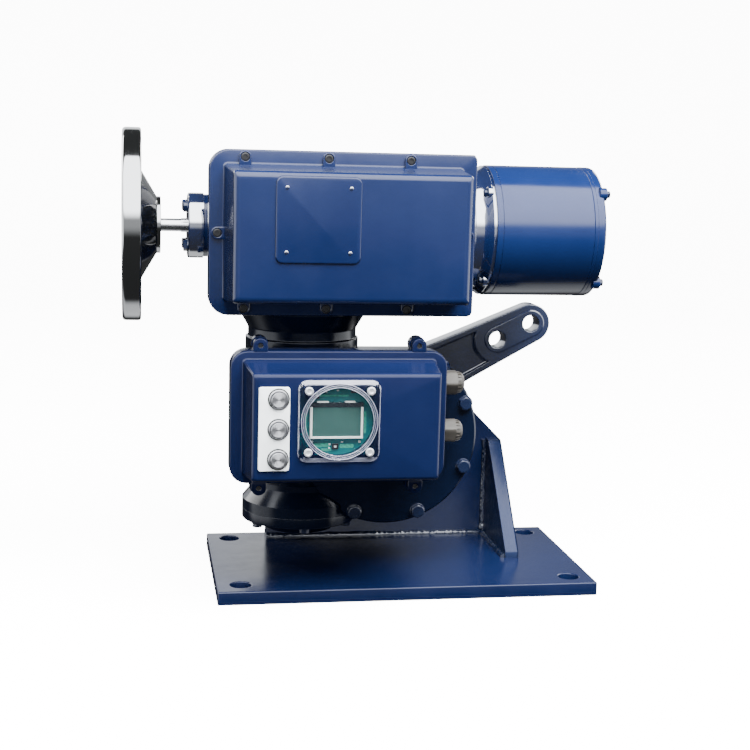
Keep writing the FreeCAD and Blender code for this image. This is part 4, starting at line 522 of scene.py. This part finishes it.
def bolt_set(name, node, axis, spots, face, way, flats, head, washer):
    bm = bmesh.new()
    for i, spot in enumerate(spots):
        hex_bolt(bm, axis, spot, face, way, flats, head, washer, 0.35 * i)
    slot = slot_of[node]
    piece = finish_mesh(bm, name, "frame", BLUE_BOLT if slot == "blue_enamel" else SLOT_MATERIAL[slot])
    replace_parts(piece, node)


def socket_screw(bm, spot, face, height, turn, radius=4.2):
    """A cheese or socket head that looks to the front, with a rounded edge and a hexagon recess."""
    at = hex_radius(radius * 1.15, turn)
    loops = [level("y", face - up, circle(*spot, size, 24)) for up, size in (
        (0, radius), (height - 0.5, radius), (height - 0.15, radius - 0.15), (height, radius - 0.5))]
    for up in (height, height - min(height * 0.6, 2.0)):
        loops.append([place("y", face - up, *polar(*spot, at(a), a)) for a in angles(24)])
    rings(bm, loops)


def socket_set(name, node, spots, face, height, material):
    bm = bmesh.new()
    for i, spot in enumerate(spots):
        socket_screw(bm, spot, face, height, 0.4 * i)
    piece = finish_mesh(bm, name, "frame", material)
    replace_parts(piece, node)


bolt_set("cover_bolt_heads", "gearbox_cover_bolts", "y", spots_on_ring(GEAR_SPOT, 89.8, 8, 22.5),
         -40, -1, 13, 6, 1.2)
bolt_set("mount_bolt_heads", "gearbox_mount_bolts", "y", spots_on_ring(GEAR_SPOT, 60, 4, 45),
         PLATE_REAR, 1, 13, 6, 1.2)
bolt_set("cap_bolt_heads", "shaft_cap_bolts", "x", four_spots(*DRIVE_SPOT, 20, 20), CAP_FACE, -1, 10, 5, 1)
bolt_set("adapter_bolt_heads", "adapter_bolts", "x", motor_spots(ADAPTER_RING), ADAPTER_EAR, -1, 7, 4, 0.8)
bolt_set("motor_bolt_heads", "motor_end_bolts", "x", motor_spots(MOTOR_RING), MOTOR_EAR, 1, 7, 4, 0.8)
bm = bmesh.new()
for radius, start, face in ((55, 30, 61), (54, 0, 240)):
    for i, spot in enumerate(spots_on_ring(WORM_SPOT, radius, 6, start)):
        hex_bolt(bm, "z", spot, face, -1, 10, 5, 1, 0.3 * i)
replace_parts(finish_mesh(bm, "barrel_bolt_heads", "frame", BLUE_BOLT), "barrel_bolts")

CRANK_WASHER = 6
bm = bmesh.new()
lathe(bm, "y", GEAR, soften([
    (HUB_END, 0), (HUB_END, 30, 0.8), (HUB_END + CRANK_WASHER, 30, 1.4), (HUB_END + CRANK_WASHER, 0)],
    False, 4), 64, False)
hex_bolt(bm, "y", GEAR_SPOT, HUB_END + CRANK_WASHER, 1, 19, 8)
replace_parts(finish_mesh(bm, "crank_bolt_head", "output", DARK_STEEL), "crank_end_bolt")

bm = bmesh.new()
hex_bolt(bm, "x", DRIVE_SPOT, WHEEL_HUB, -1, 17, 7, 1.4)
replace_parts(finish_mesh(bm, "wheel_nut", "drive", DARK_STEEL), "handwheel_nut")


# Covers of the two boxes: lofted pans with rounded edges, a filleted foot and a rounded flange
DRAFT, FOOT_RADIUS = 4.8, 2.4


def bored(loops, u0, w0, levels):
    """Adds circles whose points lie in line with those of the last loop, given as (station, radius) pairs."""
    turns = [math.atan2(p.z - w0, p.x - u0) for p in loops[-1]]
    return loops + [level("y", y, [polar(u0, w0, r, a) for a in turns]) for y, r in levels]


def pan_cover(bm, rect, radii, back, face, foot, front, edge, hole=None, straight=1):
    """A cover from its back to its front. The foot is the pan's outline where it meets the flange."""
    def flange(out):
        return grown(rect, out, tuple(r + out for r in radii), 5, straight)

    def pan(out, radius):
        return grown(foot, out, radius, 5, straight)

    levels = [(back, flange(-0.4)), (back - 0.4, flange(0))]
    levels += [(face + 1.8 - depth, flange(-inset)) for depth, inset in quarter(1.8)]
    for depth, inset in quarter(FOOT_RADIUS, 5, False):
        levels.append((face - depth, pan(FOOT_RADIUS - inset, 3.4 + FOOT_RADIUS - inset)))
    slope = DRAFT / (face - front)
    rise = front + edge
    for y in (face - FOOT_RADIUS - 0.4, rise + 0.4):
        levels.append((y, pan(-slope * (face - y), 3)))
    for depth, inset in quarter(edge, 6):
        levels.append((rise - depth, pan(-slope * (face - rise) - inset, 3)))
    loops = [level("y", s, points) for s, points in levels]
    if hole:
        u0, w0, radius = hole
        loops = bored(loops, u0, w0, ((front, radius), (front + 4.5, radius)))
    rings(bm, loops, last=not hole)


def boss(bm, spot, toward, reach, radius, low, high, bore, floor):
    """A U-shaped screw boss with a counterbore. Low is the foot on the flange and high the front."""
    def ring(y, size):
        loop = []
        for a in angles(36):
            t = math.cos(a) * toward[0] + math.sin(a) * toward[1]
            p = abs(-math.sin(a) * toward[0] + math.cos(a) * toward[1])
            r = size if t <= 0 else min(size / max(p, 1e-6), (reach + size - radius) / max(t, 1e-6))
            loop.append(place("y", y, *polar(*spot, r, a)))
        return loop

    def round_ring(y, r):
        return level("y", y, circle(*spot, r, 36))

    rings(bm, [ring(low + 0.3, radius), ring(high + 1.2, radius), ring(high + 0.5, radius - 0.2),
               ring(high + 0.12, radius - 0.6), ring(high, radius - 1.1), round_ring(high, bore + 0.4),
               round_ring(high + 0.35, bore), round_ring(floor, bore)])


LID_FACE, LID_BOSS, LID_SEAT = -65, -69, -65.6
LID_SPOTS = [(-90 + 84 * i, z) for i in (-1, 0, 1) for z in (297.3, 449.2)]
LID_SIDES = [(-201.2, 373.25), (55.7, 373.25)]
PAD_X, PAD_Z, PAD_RADIUS, PAD_FRONT = -108, 391, 7, -137.1
bm = bmesh.new()
pan_cover(bm, (-209.5, 290, 64, 456.5), (20, 6, 6, 20), -57, LID_FACE, (-194.5, 305, 49, 441.5), -135, 6.5)
for u, w in LID_SPOTS:
    boss(bm, (u, w), (0, 1 if w < DRIVE_Z else -1), 9.5, 6.4, LID_FACE, LID_BOSS, 4.6, LID_SEAT)
for spot, way in zip(LID_SIDES, (1, -1)):
    boss(bm, spot, (way, 0), 8.5, 6.4, LID_FACE, LID_BOSS, 4.6, LID_SEAT)
pad = (PAD_X - 41.75, PAD_Z - 42, PAD_X + 41.75, PAD_Z + 42)
slab(bm, "y", [(-134.4, corners(*pad, PAD_RADIUS))] + [
    (PAD_FRONT + 1.9 - depth, grown(pad, -inset, PAD_RADIUS - inset)) for depth, inset in quarter(1.9)])
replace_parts(finish_mesh(bm, "drive_cover_shell", "frame", BLUE), "gear_cover")
socket_set("drive_cover_screws", "cover_screws", LID_SPOTS + LID_SIDES, LID_SEAT, 2.6, OXIDE)
bm = bmesh.new()
for u, w in four_spots(PAD_X, PAD_Z, 31, 31):
    lathe(bm, "y", (u, 0, w), soften([
        (-136.4, 0), (-136.4, 2.1, 0.1), (-137.9, 1.8, 1.0), (-138.1, 0)], False, 5), 28, False)
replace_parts(finish_mesh(bm, "pad_rivet_heads", "frame", BLUE_GLOSS), "pad_rivets")

WX, WZ = -88.5, 200.5
BOX_FACE, BOX_FRONT = -110, -165
EAR_SPOTS = [(-80 + i * 80, z) for i in (-1, 1) for z in (121, 265.6)]
bm = bmesh.new()
pan_cover(bm, (-189.5, 126.1, 29.5, 260.5), (17, 17, 17, 17), -99, BOX_FACE, (-177, 135.6, 17, 251),
          BOX_FRONT, 4.6, hole=(WX, WZ, 34), straight=14)
for u, w in EAR_SPOTS:
    boss(bm, (u, w), (0, 1 if w < WZ else -1), 7, 7.5, -99.2, BOX_FACE, 2.6, -106)
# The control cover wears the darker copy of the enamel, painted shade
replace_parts(finish_mesh(bm, "control_cover_shell", "frame", BLUE_PAINTED_SHADE), "control_cover")
socket_set("control_cover_screws", "control_screws", EAR_SPOTS, -105.8, 3.4, OXIDE)


# Window of the control box: a clear bezel whose edges and ring lines have a pale tint, partly frosted and
# partly painted highlight, the display and its board
def bezel_outline(side, top):
    return corners(WX - 40 + side, WZ - 40 + top, WX + 40 - side, WZ + 40 - top, 9, 6, 14)


bm = bmesh.new()
loops = [level("y", y, bezel_outline(side, top)) for y, side, top in (
    (BOX_FRONT, 0, 0), (-167.4, 0, 0), (-168.3, 0.6, 2.2), (-169, 1.3, 4.4))]
rings(bm, bored(loops, WX, WZ, (
    (-169, 37.6), (-170.4, 37.6), (-171, 37.0), (-171, 33.6), (-170.4, 33), (BOX_FRONT, 33))), closed=True)
bezel = finish_mesh(bm, "window_bezel_clear", "frame", CLEAR)
# The bezel's outer edge faces take the pale tint, partly painted highlight
bezel.data.materials.append(EDGE)
for poly in bezel.data.polygons:
    c = poly.center / MM
    if max(abs(c.x - WX) / 38.9, abs(c.z - WZ) / 35.8) > 1 and c.y < BOX_FRONT - 0.01:
        poly.material_index = 1
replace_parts(bezel, "window_bezel")
# Ring lines in the pale tint, partly painted highlight
bm = bmesh.new()
for radius, thick in ((37.1, 0.5), (35.3, 0.3), (33.5, 0.45)):
    lathe(bm, "y", (WX, 0, WZ), arc(-170.95, radius, thick, 0, 324, 9), 120)
finish_mesh(bm, "window_ring_lines", "frame", EDGE)
socket_set("window_screw_heads", "window_screws", four_spots(WX, WZ, 30, 30), -169, 3.0, ZINC)


def tile(bm, left, low, right, high, back, front, radius=0.4):
    """A thin plate with a rounded outline and a small bevel on its front edge."""
    edge, rect = 0.2, (left, low, right, high)
    slab(bm, "y", [(back, grown(rect, 0, radius, 2)), (front + edge, grown(rect, 0, radius, 2)),
                   (front, grown(rect, -edge, radius, 2))])


def tiles(name, rows, material):
    """Tiles as one piece. A row is left, low, right, high, back, front and its radius, if not 0.4."""
    bm = bmesh.new()
    for row in rows:
        tile(bm, *row)
    return finish_mesh(bm, name, "frame", material)


frame_bars = tiles("lcd_frame_bars", [
    (-116, 182, -113.6, 213.4, -154.6, -160.4), (-66.2, 182, -64, 213.4, -154.6, -160.4),
    (-116, 182, -64, 184.2, -154.6, -160.5), (-109, 217.2, -98, 218.6, -156.5, -160.0),
    (-82, 217.2, -72, 218.6, -156.5, -160.0)], PAINT_WHITE)
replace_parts(frame_bars, "lcd_module")
tiles("lcd_screen_plate", [(-114, 183.8, -66, 214, -154.6, -159.6)], SCREEN)
tiles("lcd_black_strip", [(-116, 213.3, -64, 217.4, -154.6, -160.6)], STRIP)
board_tiles = tiles("board_plate", [(-127.5, 164.5, -49.5, 236.5, -153, -154.6, 1.5)], BOARD)
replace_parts(board_tiles, "display_board")
tiles("board_pours", [
    (-111, 172.5, -95.5, 176.5, -154.5, -155.0, 1.4), (-86, 171.5, -72, 175.5, -154.5, -155.0, 1.4),
    (-104, 168.5, -94, 171, -154.5, -155.0, 1), (-120.5, 186, -118.2, 206, -154.5, -155.2, 0.8),
    (-62.5, 186, -60.2, 208, -154.5, -155.2, 0.8), (-106, 222.5, -78, 224.3, -154.5, -155.0, 0.6)],
      POUR)
tiles("board_chips", [
    (-93.6, 170.6, -87.2, 176.2, -154.5, -156.4, 0.3), (-113, 220.6, -107, 224, -154.5, -156.2, 0.3),
    (-76, 226, -70, 230, -154.5, -156.2, 0.3)], CHIP)
tiles("board_parts", [
    (-91.4, 172.4, -89.2, 174.4, -156.3, -156.8, 0.3), (-96.6, 174.6, -94.8, 176.4, -154.5, -155.8, 0.3),
    (-96.9, 171.0, -95.2, 172.4, -154.5, -155.8, 0.3), (-67.6, 176.8, -65.4, 179.0, -154.5, -156.4, 0.5),
    (-113.9, 177.4, -111.9, 179.2, -154.5, -156.0, 0.5), (-84.6, 177.0, -82.4, 178.2, -154.5, -155.8, 0.3),
    (-101, 226.5, -99, 228, -154.5, -155.8, 0.3), (-90, 228, -87.6, 229.4, -154.5, -155.8, 0.3)],
      PAINT_WHITE)

# Push-buttons: a plate with a rounded edge, ring bodies and caps turned with fine concentric ridges
KEY, KEY_RADIUS, KEY_FRONT = (-166.3, 151.8, -136.3, 233.8), 2.5, -167
bm = bmesh.new()
slab(bm, "y", [(BOX_FRONT, corners(*KEY, KEY_RADIUS))] + [
    (KEY_FRONT + 0.7 - depth, grown(KEY, -inset, KEY_RADIUS - inset)) for depth, inset in quarter(0.7)])
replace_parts(finish_mesh(bm, "button_plate_face", "frame", WHITE), "button_plate")
BUTTONS = {"button_upper": 222.15, "button_middle": 192.8, "button_lower": 163.45}
BUTTON_CENTRES = {name: (-147.2, 0, z) for name, z in BUTTONS.items()}
# Dark rubber rings round the buttons: partly seals, partly the painted shadow of the dark outline round each
# button
bm = bmesh.new()
for centre in BUTTON_CENTRES.values():
    lathe(bm, "y", centre, soften([
        (-166.9, 9.2), (-166.9, 10.6), (-167.9, 10.4, 0.4), (-167.9, 9.2)], True, 3), 64)
finish_mesh(bm, "button_seal_and_shadow_rings", "frame", RUBBER)
bm = bmesh.new()
for centre in BUTTON_CENTRES.values():
    lathe(bm, "y", centre, soften([
        (-167, 7.9), (-167, 9.4, 0.3), (-168.2, 9.4, 0.5), (-169, 8.5, 0.3), (-169, 7.6, 0.2), (-168.4, 7.5),
        (-163, 7.5), (-163, 7.9)], True, 4), 72)
    lathe(bm, "y", centre, soften([
        (-160.5, 0), (-160.5, 11), (-157.5, 11), (-157.5, 8), (-144.5, 8), (-144.5, 0)], False), 48, False)
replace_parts(finish_mesh(bm, "button_ring_bodies", "frame", CAP_STEEL), "button_bodies")

CAP_FRONT, RIDGES = -171.4, 9
profile = [(CAP_FRONT, 0), (CAP_FRONT, 0.5)]
for k in range(RIDGES):
    r = 0.8 + 0.68 * k
    profile += [(-171.28, r), (CAP_FRONT, r + 0.2), (CAP_FRONT, r + 0.42)]
profile += [(-171.2, 6.9), (-170.8, 7.2), (-165.4, 7.2), (-165.4, 4.2), (-155, 4.2), (-155, 0)]
for name, centre in BUTTON_CENTRES.items():
    bm = bmesh.new()
    lathe(bm, "y", centre, profile, 72, False)
    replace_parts(finish_mesh(bm, name + "_turned", name + "_cap", CAP_STEEL), name)


# Cable glands: chamfered hexagons and a ribbed dome nut with its cable opening
def hex_sleeve(bm, spot, low, high, bore, turn, flats=24, chamfer=0.6):
    at = hex_radius(flats, turn)

    def ring(station, size):
        return [place("x", station, *polar(*spot, size(a), a)) for a in angles(48)]

    def limited(inset):
        return lambda a: min(at(a), flats / 2 * 1.13 - inset)

    rings(bm, [ring(low, lambda a: bore), ring(low, limited(chamfer)), ring(low + chamfer, limited(0)),
               ring(high - chamfer, limited(0)), ring(high, limited(chamfer)), ring(high, lambda a: bore)],
          closed=True)


GLANDS = [(-70.5, 171), (-70.5, 222)]
OPENING, RIBS = 6.6, 18
bm = bmesh.new()
for i, spot in enumerate(GLANDS):
    hex_sleeve(bm, spot, 21.5, 28.6, OPENING, 0.2 + 0.5 * i)
    lathe(bm, "x", place("x", 0, *spot), [(28.5, OPENING), (28.5, 9.8), (31.6, 9.8), (31.6, OPENING)], 48)
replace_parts(finish_mesh(bm, "gland_hex_bodies", "frame", GLAND), "gland_bodies")
bm = bmesh.new()
for i, spot in enumerate(GLANDS):
    hex_sleeve(bm, spot, 31.5, 47.5, 8.8, 0.30 + 0.22 * i)
    centre = place("x", 0, *spot)
    lathe(bm, "x", centre, soften([
        (46.5, OPENING), (46.5, 10.6), (52.5, 10.4, 1.5), (54.6, 8.6, 0.8), (55.4, 7.4, 0.3),
        (55.4, OPENING)], True, 5), 64)
    for turn in angles(RIBS):
        out, side = Vector((0, math.cos(turn), math.sin(turn))), Vector((0, -math.sin(turn), math.cos(turn)))
        loops = []
        for x, top in ((47, 11.4), (50.8, 11.4), (53.2, 10.2)):
            section = ((9, -0.7), (top, -0.45), (top, 0.45), (9, 0.7))
            loops.append([centre + Vector((x, 0, 0)) + out * r + side * t for r, t in section])
        rings(bm, loops)
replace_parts(finish_mesh(bm, "gland_dome_nuts", "frame", GLAND), "gland_nuts")


# Welded and forged parts with rounded edges: base plate, gusset, weld beads and crank arm
def shifted(points, out):
    """A closed anticlockwise loop moved outwards along its corner normals."""
    moved = []
    for i, (u, w) in enumerate(points):
        (u0, w0), (u2, w2) = points[i - 1], points[(i + 1) % len(points)]
        one, two = Vector((u - u0, w - w0)).normalized(), Vector((u2 - u, w2 - w)).normalized()
        normal = Vector((one.y + two.y, -one.x - two.x))
        normal = normal / max(normal.length_squared / 2, 0.5)
        moved.append((u + normal.x * out, w + normal.y * out))
    return moved


def inward(outline):
    """The anticlockwise outline as a function of an inset."""
    return lambda inset: shifted(outline, -inset)


def widened(u, w, radius, count=48):
    """A hole as a function of how much its rim is widened."""
    return lambda inset: circle(u, w, radius + inset, count)


def rounded(face, way, radius, outline_at, count=4, margin=0.5):
    """Levels of a rounded edge up to a face that looks along way, and a last one inside the face."""
    levels = [(face - way * (radius - depth), outline_at(inset)) for depth, inset in quarter(radius, count)]
    return levels + [(face, outline_at(radius + margin))]


def skin(bm, to_space, levels):
    """Faces between (station, points) levels. Returns the first and last rows."""
    rows = [[bm.verts.new(to_space(s, u, w)) for u, w in points] for s, points in levels]
    join(bm, rows)
    return rows[0], rows[-1]


def fill(bm, *rows):
    """A flat face bounded by one or more rows, the later ones as holes."""
    edges = []
    for row in rows:
        for i in range(len(row)):
            pair = (row[i], row[(i + 1) % len(row)])
            edges.append(bm.edges.get(pair) or bm.edges.new(pair))
    bmesh.ops.triangle_fill(bm, use_beauty=True, use_dissolve=False, edges=edges)


HALF_LENGTH, HALF_WIDTH, BASE_TOP, BASE_HOLE = 200, 111, 14, 11


def base_space(station, u, w):
    return place("z", station, u, w)


bm = bmesh.new()
outline = corners(-HALF_LENGTH, -HALF_WIDTH, HALF_LENGTH, HALF_WIDTH, 1.6, 3)
rows = [skin(bm, base_space, [(0, shifted(outline, -0.4)), (0.4, outline)]
             + rounded(BASE_TOP, 1, 1.5, inward(outline)))]
for u, w in four_spots(0, 0, 175, 87.5):
    rows.append(skin(bm, base_space, [(0, circle(u, w, BASE_HOLE))]
                     + rounded(BASE_TOP, 1, 0.9, widened(u, w, BASE_HOLE), 3)))
for side in zip(*rows):
    fill(bm, *side)
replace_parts(finish_mesh(bm, "base_plate_ground", "frame", BLUE_BASE), "base_plate")

GUSSET_LEFT, GUSSET_RIGHT, GUSSET_MIDDLE, GUSSET_TOP, GUSSET_FOOT = 124, 139, 131.5, 127, -15


def gusset_space(station, u, w):
    return place("x", station, u, w)


def gusset_at(inset):
    return shifted(profile[::-1], -inset)[::-1]


bm = bmesh.new()
profile = [(PLATE_FRONT, BASE_TOP), (PLATE_FRONT, GUSSET_TOP), (79.5, GUSSET_TOP), (77, 125.6), (-14.4, 21.4),
           (GUSSET_FOOT, 19.6), (GUSSET_FOOT, BASE_TOP)]
for way, face in ((1, GUSSET_RIGHT), (-1, GUSSET_LEFT)):
    levels = [(GUSSET_MIDDLE, profile)] + rounded(face, way, 1.2, gusset_at, 3, 0.6)
    fill(bm, skin(bm, gusset_space, levels)[1])
bmesh.ops.remove_doubles(bm, verts=bm.verts, dist=0.001)
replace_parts(finish_mesh(bm, "gusset_cut_plate", "frame", BLUE_ROUGH), "side_gusset")


def weld(bm, corner, along, one, two, length, seed, leg=4.6):
    """A weld bead in the inside corner between two faces, with scale ripples and an uneven toe."""
    rng = random.Random(seed)
    count = max(8, int(length / 1.6))
    sway, rows = 0.0, []
    for i in range(count + 1):
        t = i / count * length
        sway = 0.75 * sway + rng.uniform(-0.35, 0.35)
        ripple = 0.35 * abs(math.sin(t * 0.62 + sway))
        end = 0.9 * math.exp(-min(t, length - t) / 3)
        row = [corner + along * t]
        for k in range(6):
            a = math.radians(18 * k)
            bulge = leg * (0.93 + 0.10 * math.sin(2 * a)) + sway * 0.8 + ripple + end
            bulge += rng.uniform(-0.22, 0.22)
            row.append(corner + along * t + one * (bulge * math.cos(a)) + two * (bulge * math.sin(a)))
        rows.append(row)
    rings(bm, rows)


X, Y, Z = Vector((1, 0, 0)), Vector((0, 1, 0)), Vector((0, 0, 1))
bm = bmesh.new()
weld(bm, Vector((-133, PLATE_FRONT, BASE_TOP)), X, -Y, Z, 257, 3)
weld(bm, Vector((-133, PLATE_REAR, BASE_TOP)), X, Y, Z, 274, 5)
weld(bm, Vector((GUSSET_LEFT, PLATE_FRONT, 20)), Z, -X, -Y, 107, 7)
weld(bm, Vector((GUSSET_LEFT, GUSSET_FOOT, BASE_TOP)), Y, -X, Z, 99, 9, 4.4)
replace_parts(finish_mesh(bm, "weld_bead_runs", "frame", WELD), "weld_beads")

# Crank arm: a forged lever with a sunk web, a raised pad round its two holes and a turned hub
ARM_TURN = math.radians(26)
ARM_FRONT, ARM_MIDDLE, WEB_DEPTH, PAD_RISE = 133, 146.5, 6, 0.8
HOLE_NEAR, HOLE_FAR, HOLE_RADIUS, END_RADIUS, RAISED_RADIUS = 180, 225, 10, 23, 15


def arm_space(side):
    """Space of the arm's front half, or with a side of 1 of its mirror image behind."""
    def to_space(s, u, w):
        return Vector((GEAR_X + u * math.cos(ARM_TURN) - w * math.sin(ARM_TURN),
                       ARM_MIDDLE + side * (ARM_MIDDLE - s),
                       GEAR_Z + u * math.sin(ARM_TURN) + w * math.cos(ARM_TURN)))
    return to_space


lever = [(0, -38), (140, -28), (HOLE_FAR, -END_RADIUS)] + arc(HOLE_FAR, 0, END_RADIUS, -86, 86, 22)
lever += [(HOLE_FAR, END_RADIUS), (140, 28), (0, 38)]
pocket = [(36.2, -26.8), (98, -23.4)] + arc(HOLE_NEAR, 0, 28, 225.7, 134.3, 14) + [(98, 23.4), (36.2, 26.8)]
pocket += arc(0, 0, 45, 32, -32, 12)
raised = arc(HOLE_FAR, 0, RAISED_RADIUS, -90, 90, 20) + arc(HOLE_NEAR, 0, RAISED_RADIUS, 90, 270, 20)
bm = bmesh.new()
for side in (-1, 1):
    space = arm_space(side)
    rim = skin(bm, space, [(ARM_MIDDLE, lever)] + rounded(ARM_FRONT, -1, 1.2, inward(lever)))[1]
    web_floor = ARM_FRONT + WEB_DEPTH
    levels = [(ARM_FRONT, shifted(pocket, 1.6))]
    levels += [(ARM_FRONT + depth, shifted(pocket, 1.0 - inset)) for depth, inset in quarter(1.0, 4, False)]
    for depth, inset in quarter(1.2, 4, False):
        levels.append((web_floor - 1.2 + depth, shifted(pocket, -1.4 - inset)))
    levels += [(web_floor, shifted(pocket, -3.1))]
    start, floor = skin(bm, space, levels)
    fill(bm, floor)
    foot, top = skin(bm, space, [(ARM_FRONT - rise, shifted(raised, out)) for rise, out in (
        (0, 1.6), (0, 1.2), (0.3, 0.8), (0.6, 0.3), (PAD_RISE, -0.1), (PAD_RISE, -0.6))])
    fill(bm, rim, start, foot)
    holes = []
    for u in (HOLE_NEAR, HOLE_FAR):
        levels = [(ARM_MIDDLE, circle(u, 0, HOLE_RADIUS, 40))]
        levels += rounded(ARM_FRONT - PAD_RISE, -1, 0.8, widened(u, 0, HOLE_RADIUS, 40), 3)
        holes.append(skin(bm, space, levels)[1])
    fill(bm, top, *holes)
bmesh.ops.remove_doubles(bm, verts=bm.verts, dist=0.001)
lathe(bm, "y", GEAR, soften([(107, 20), (107, 40, 2.5), (HUB_END, 40, 2.5), (HUB_END, 20)], True, 4), 96)
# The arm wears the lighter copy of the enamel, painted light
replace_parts(finish_mesh(bm, "crank_arm_forged", "output", BLUE_ARM_PAINTED_LIGHT), "crank_arm")

# Floor, lights and camera, in metres
SKY_LIGHT, SIDE_LIGHT, HORIZON_LIGHT, LEAST_LIGHT = 10.5, 4.4, 0.9, 0.06
AIM = Vector((0, 0, 0.25))


def dish_floor():
    """A round pale floor whose edge sweeps up into a low wall, so every side has a plain background."""
    flat, bend = 2.6, 0.9
    rim = [(0.0, 0.0), (0.9, 0.0), (1.8, 0.0), (flat, 0.0)]
    rim += [(flat + out, rise) for out, rise in quarter(bend, 9)[1:]]
    rim.append((flat + bend, 2.4))
    bm = bmesh.new()
    lathe(bm, "z", (0, 0, 0), [(z, r) for r, z in rim], 72, False)
    mesh = bpy.data.meshes.new("floor")
    bm.to_mesh(mesh)
    bm.free()
    obj = new_object("floor", mesh)
    mat, tree, bsdf = new_material("floor_white", 0.6)
    tone = ramp(tree, noise(tree, 3), (0.86, 0.86, 0.86), (0.88, 0.88, 0.88))
    tree.links.new(tone, bsdf.inputs["Base Color"])
    preset(bsdf, {"Emission Color": (1, 1, 1, 1), "Emission Strength": 11.0})
    mesh.materials.append(mat)
    for poly in mesh.polygons:
        poly.use_smooth = True
    obj.visible_glossy = False
    obj.visible_diffuse = False
    obj.visible_shadow = False


def softbox(name, spot, width, height, radiance, glossy=True):
    """An area light that looks at the part, given by the radiance of its face."""
    data = bpy.data.lights.new(name, "AREA")
    data.shape = "RECTANGLE"
    data.size, data.size_y = width, height
    data.energy = radiance * math.pi * width * height
    obj = new_object(name, data)
    obj.location = spot
    obj.rotation_euler = (AIM - Vector(spot)).to_track_quat("-Z", "Y").to_euler()
    obj.visible_camera = False
    obj.visible_glossy = glossy


def sky():
    """Soft light from a wide bright field in front and overhead, over a dim horizon and a darker ground."""
    world = bpy.data.worlds.new("studio")
    bpy.context.scene.world = world
    world.use_nodes = True
    tree = world.node_tree
    coord = tree.nodes.new("ShaderNodeTexCoord")
    axes = tree.nodes.new("ShaderNodeSeparateXYZ")
    tree.links.new(coord.outputs["Generated"], axes.inputs["Vector"])

    def step(axis, low, high, start, end):
        """Eases from start to end while the direction's share along an axis goes from low to high."""
        node = tree.nodes.new("ShaderNodeMapRange")
        node.interpolation_type = "SMOOTHSTEP"
        preset(node, {"From Min": low, "From Max": high, "To Min": start, "To Max": end})
        tree.links.new(axes.outputs[axis], node.inputs["Value"])
        return node.outputs["Result"]

    def mix(kind, one, two):
        node = tree.nodes.new("ShaderNodeMath")
        node.operation = kind
        for socket, value in zip(node.inputs, (one, two)):
            if isinstance(value, float):
                socket.default_value = value
            else:
                tree.links.new(value, socket)
        return node.outputs["Value"]

    def product(*terms):
        total = terms[0]
        for term in terms[1:]:
            total = mix("MULTIPLY", total, term)
        return total

    field = product(step("Y", -0.035, 0.02, 1, 0), step("Z", 0.13, 0.34, 0, 1),
                    step("X", -0.92, -0.74, 0, 1), step("X", 0.74, 0.92, 1, 0), SKY_LIGHT)
    sides = product(mix("ADD", step("X", -0.93, -0.8, 1, 0), step("X", 0.8, 0.93, 0, 1)),
                    step("Z", -0.35, -0.2, 0, 1), step("Z", 0.3, 0.5, 1, 0), SIDE_LIGHT)
    back = product(step("Y", 0.2, 0.5, 0, 1), step("Z", 0.0, 0.1, 0, 1), step("Z", 0.36, 0.5, 1, 0),
                   step("X", 0.08, 0.30, 2.0, 0.3))
    ground = product(step("Y", 0.1, 0.35, 0, 1), step("Z", -0.75, -0.5, 1.4, 0))
    horizon = product(step("Y", -0.2, 0.1, 1, 0), step("Z", -0.22, 0.03, 0, 1), HORIZON_LIGHT)
    total = LEAST_LIGHT
    for part in (field, sides, back, ground, horizon):
        total = mix("ADD", part, total)
    tree.links.new(total, tree.nodes["Background"].inputs["Strength"])
    tree.nodes["Background"].inputs["Color"].default_value = (0.93, 0.96, 1, 1)
    world.cycles_visibility.diffuse = False


dish_floor()
sky()
softbox("key_panel", (0.22, -0.8, 1.5), 1.6, 1.0, 46, False)
softbox("front_fill", (-1.0, -2.0, 0.5), 2.0, 1.4, 4.2, False)
softbox("back_left_fill", (-1.9, 1.5, 1.4), 1.6, 1.4, 10)
softbox("back_right_fill", (1.9, 1.5, 1.4), 1.6, 1.4, 10)

# The camera's focal length and picture width are in pixels, the width of its sensor in millimetres
FOCAL, PICTURE, SENSOR = 1406.14, 750, 36
EYE = (-0.2846, -1.48198, 0.4619)
yaw, pitch, roll = 0.1730, 0.1606, -0.0271
ahead = Vector((math.sin(yaw) * math.cos(pitch), math.cos(yaw) * math.cos(pitch), -math.sin(pitch)))
right = Vector((math.cos(yaw), -math.sin(yaw), 0))
up = right.cross(ahead)
right, up = right * math.cos(roll) - up * math.sin(roll), up * math.cos(roll) + right * math.sin(roll)
camera = new_object("camera", bpy.data.cameras.new("camera"))
camera.data.sensor_width = SENSOR
camera.data.lens = FOCAL * SENSOR / PICTURE
camera.data.clip_start, camera.data.clip_end = 0.05, 50
camera.matrix_world = Matrix([(*across, at) for *across, at in zip(right, up, -ahead, EYE)] + [(0, 0, 0, 1)])
bpy.context.scene.camera = camera
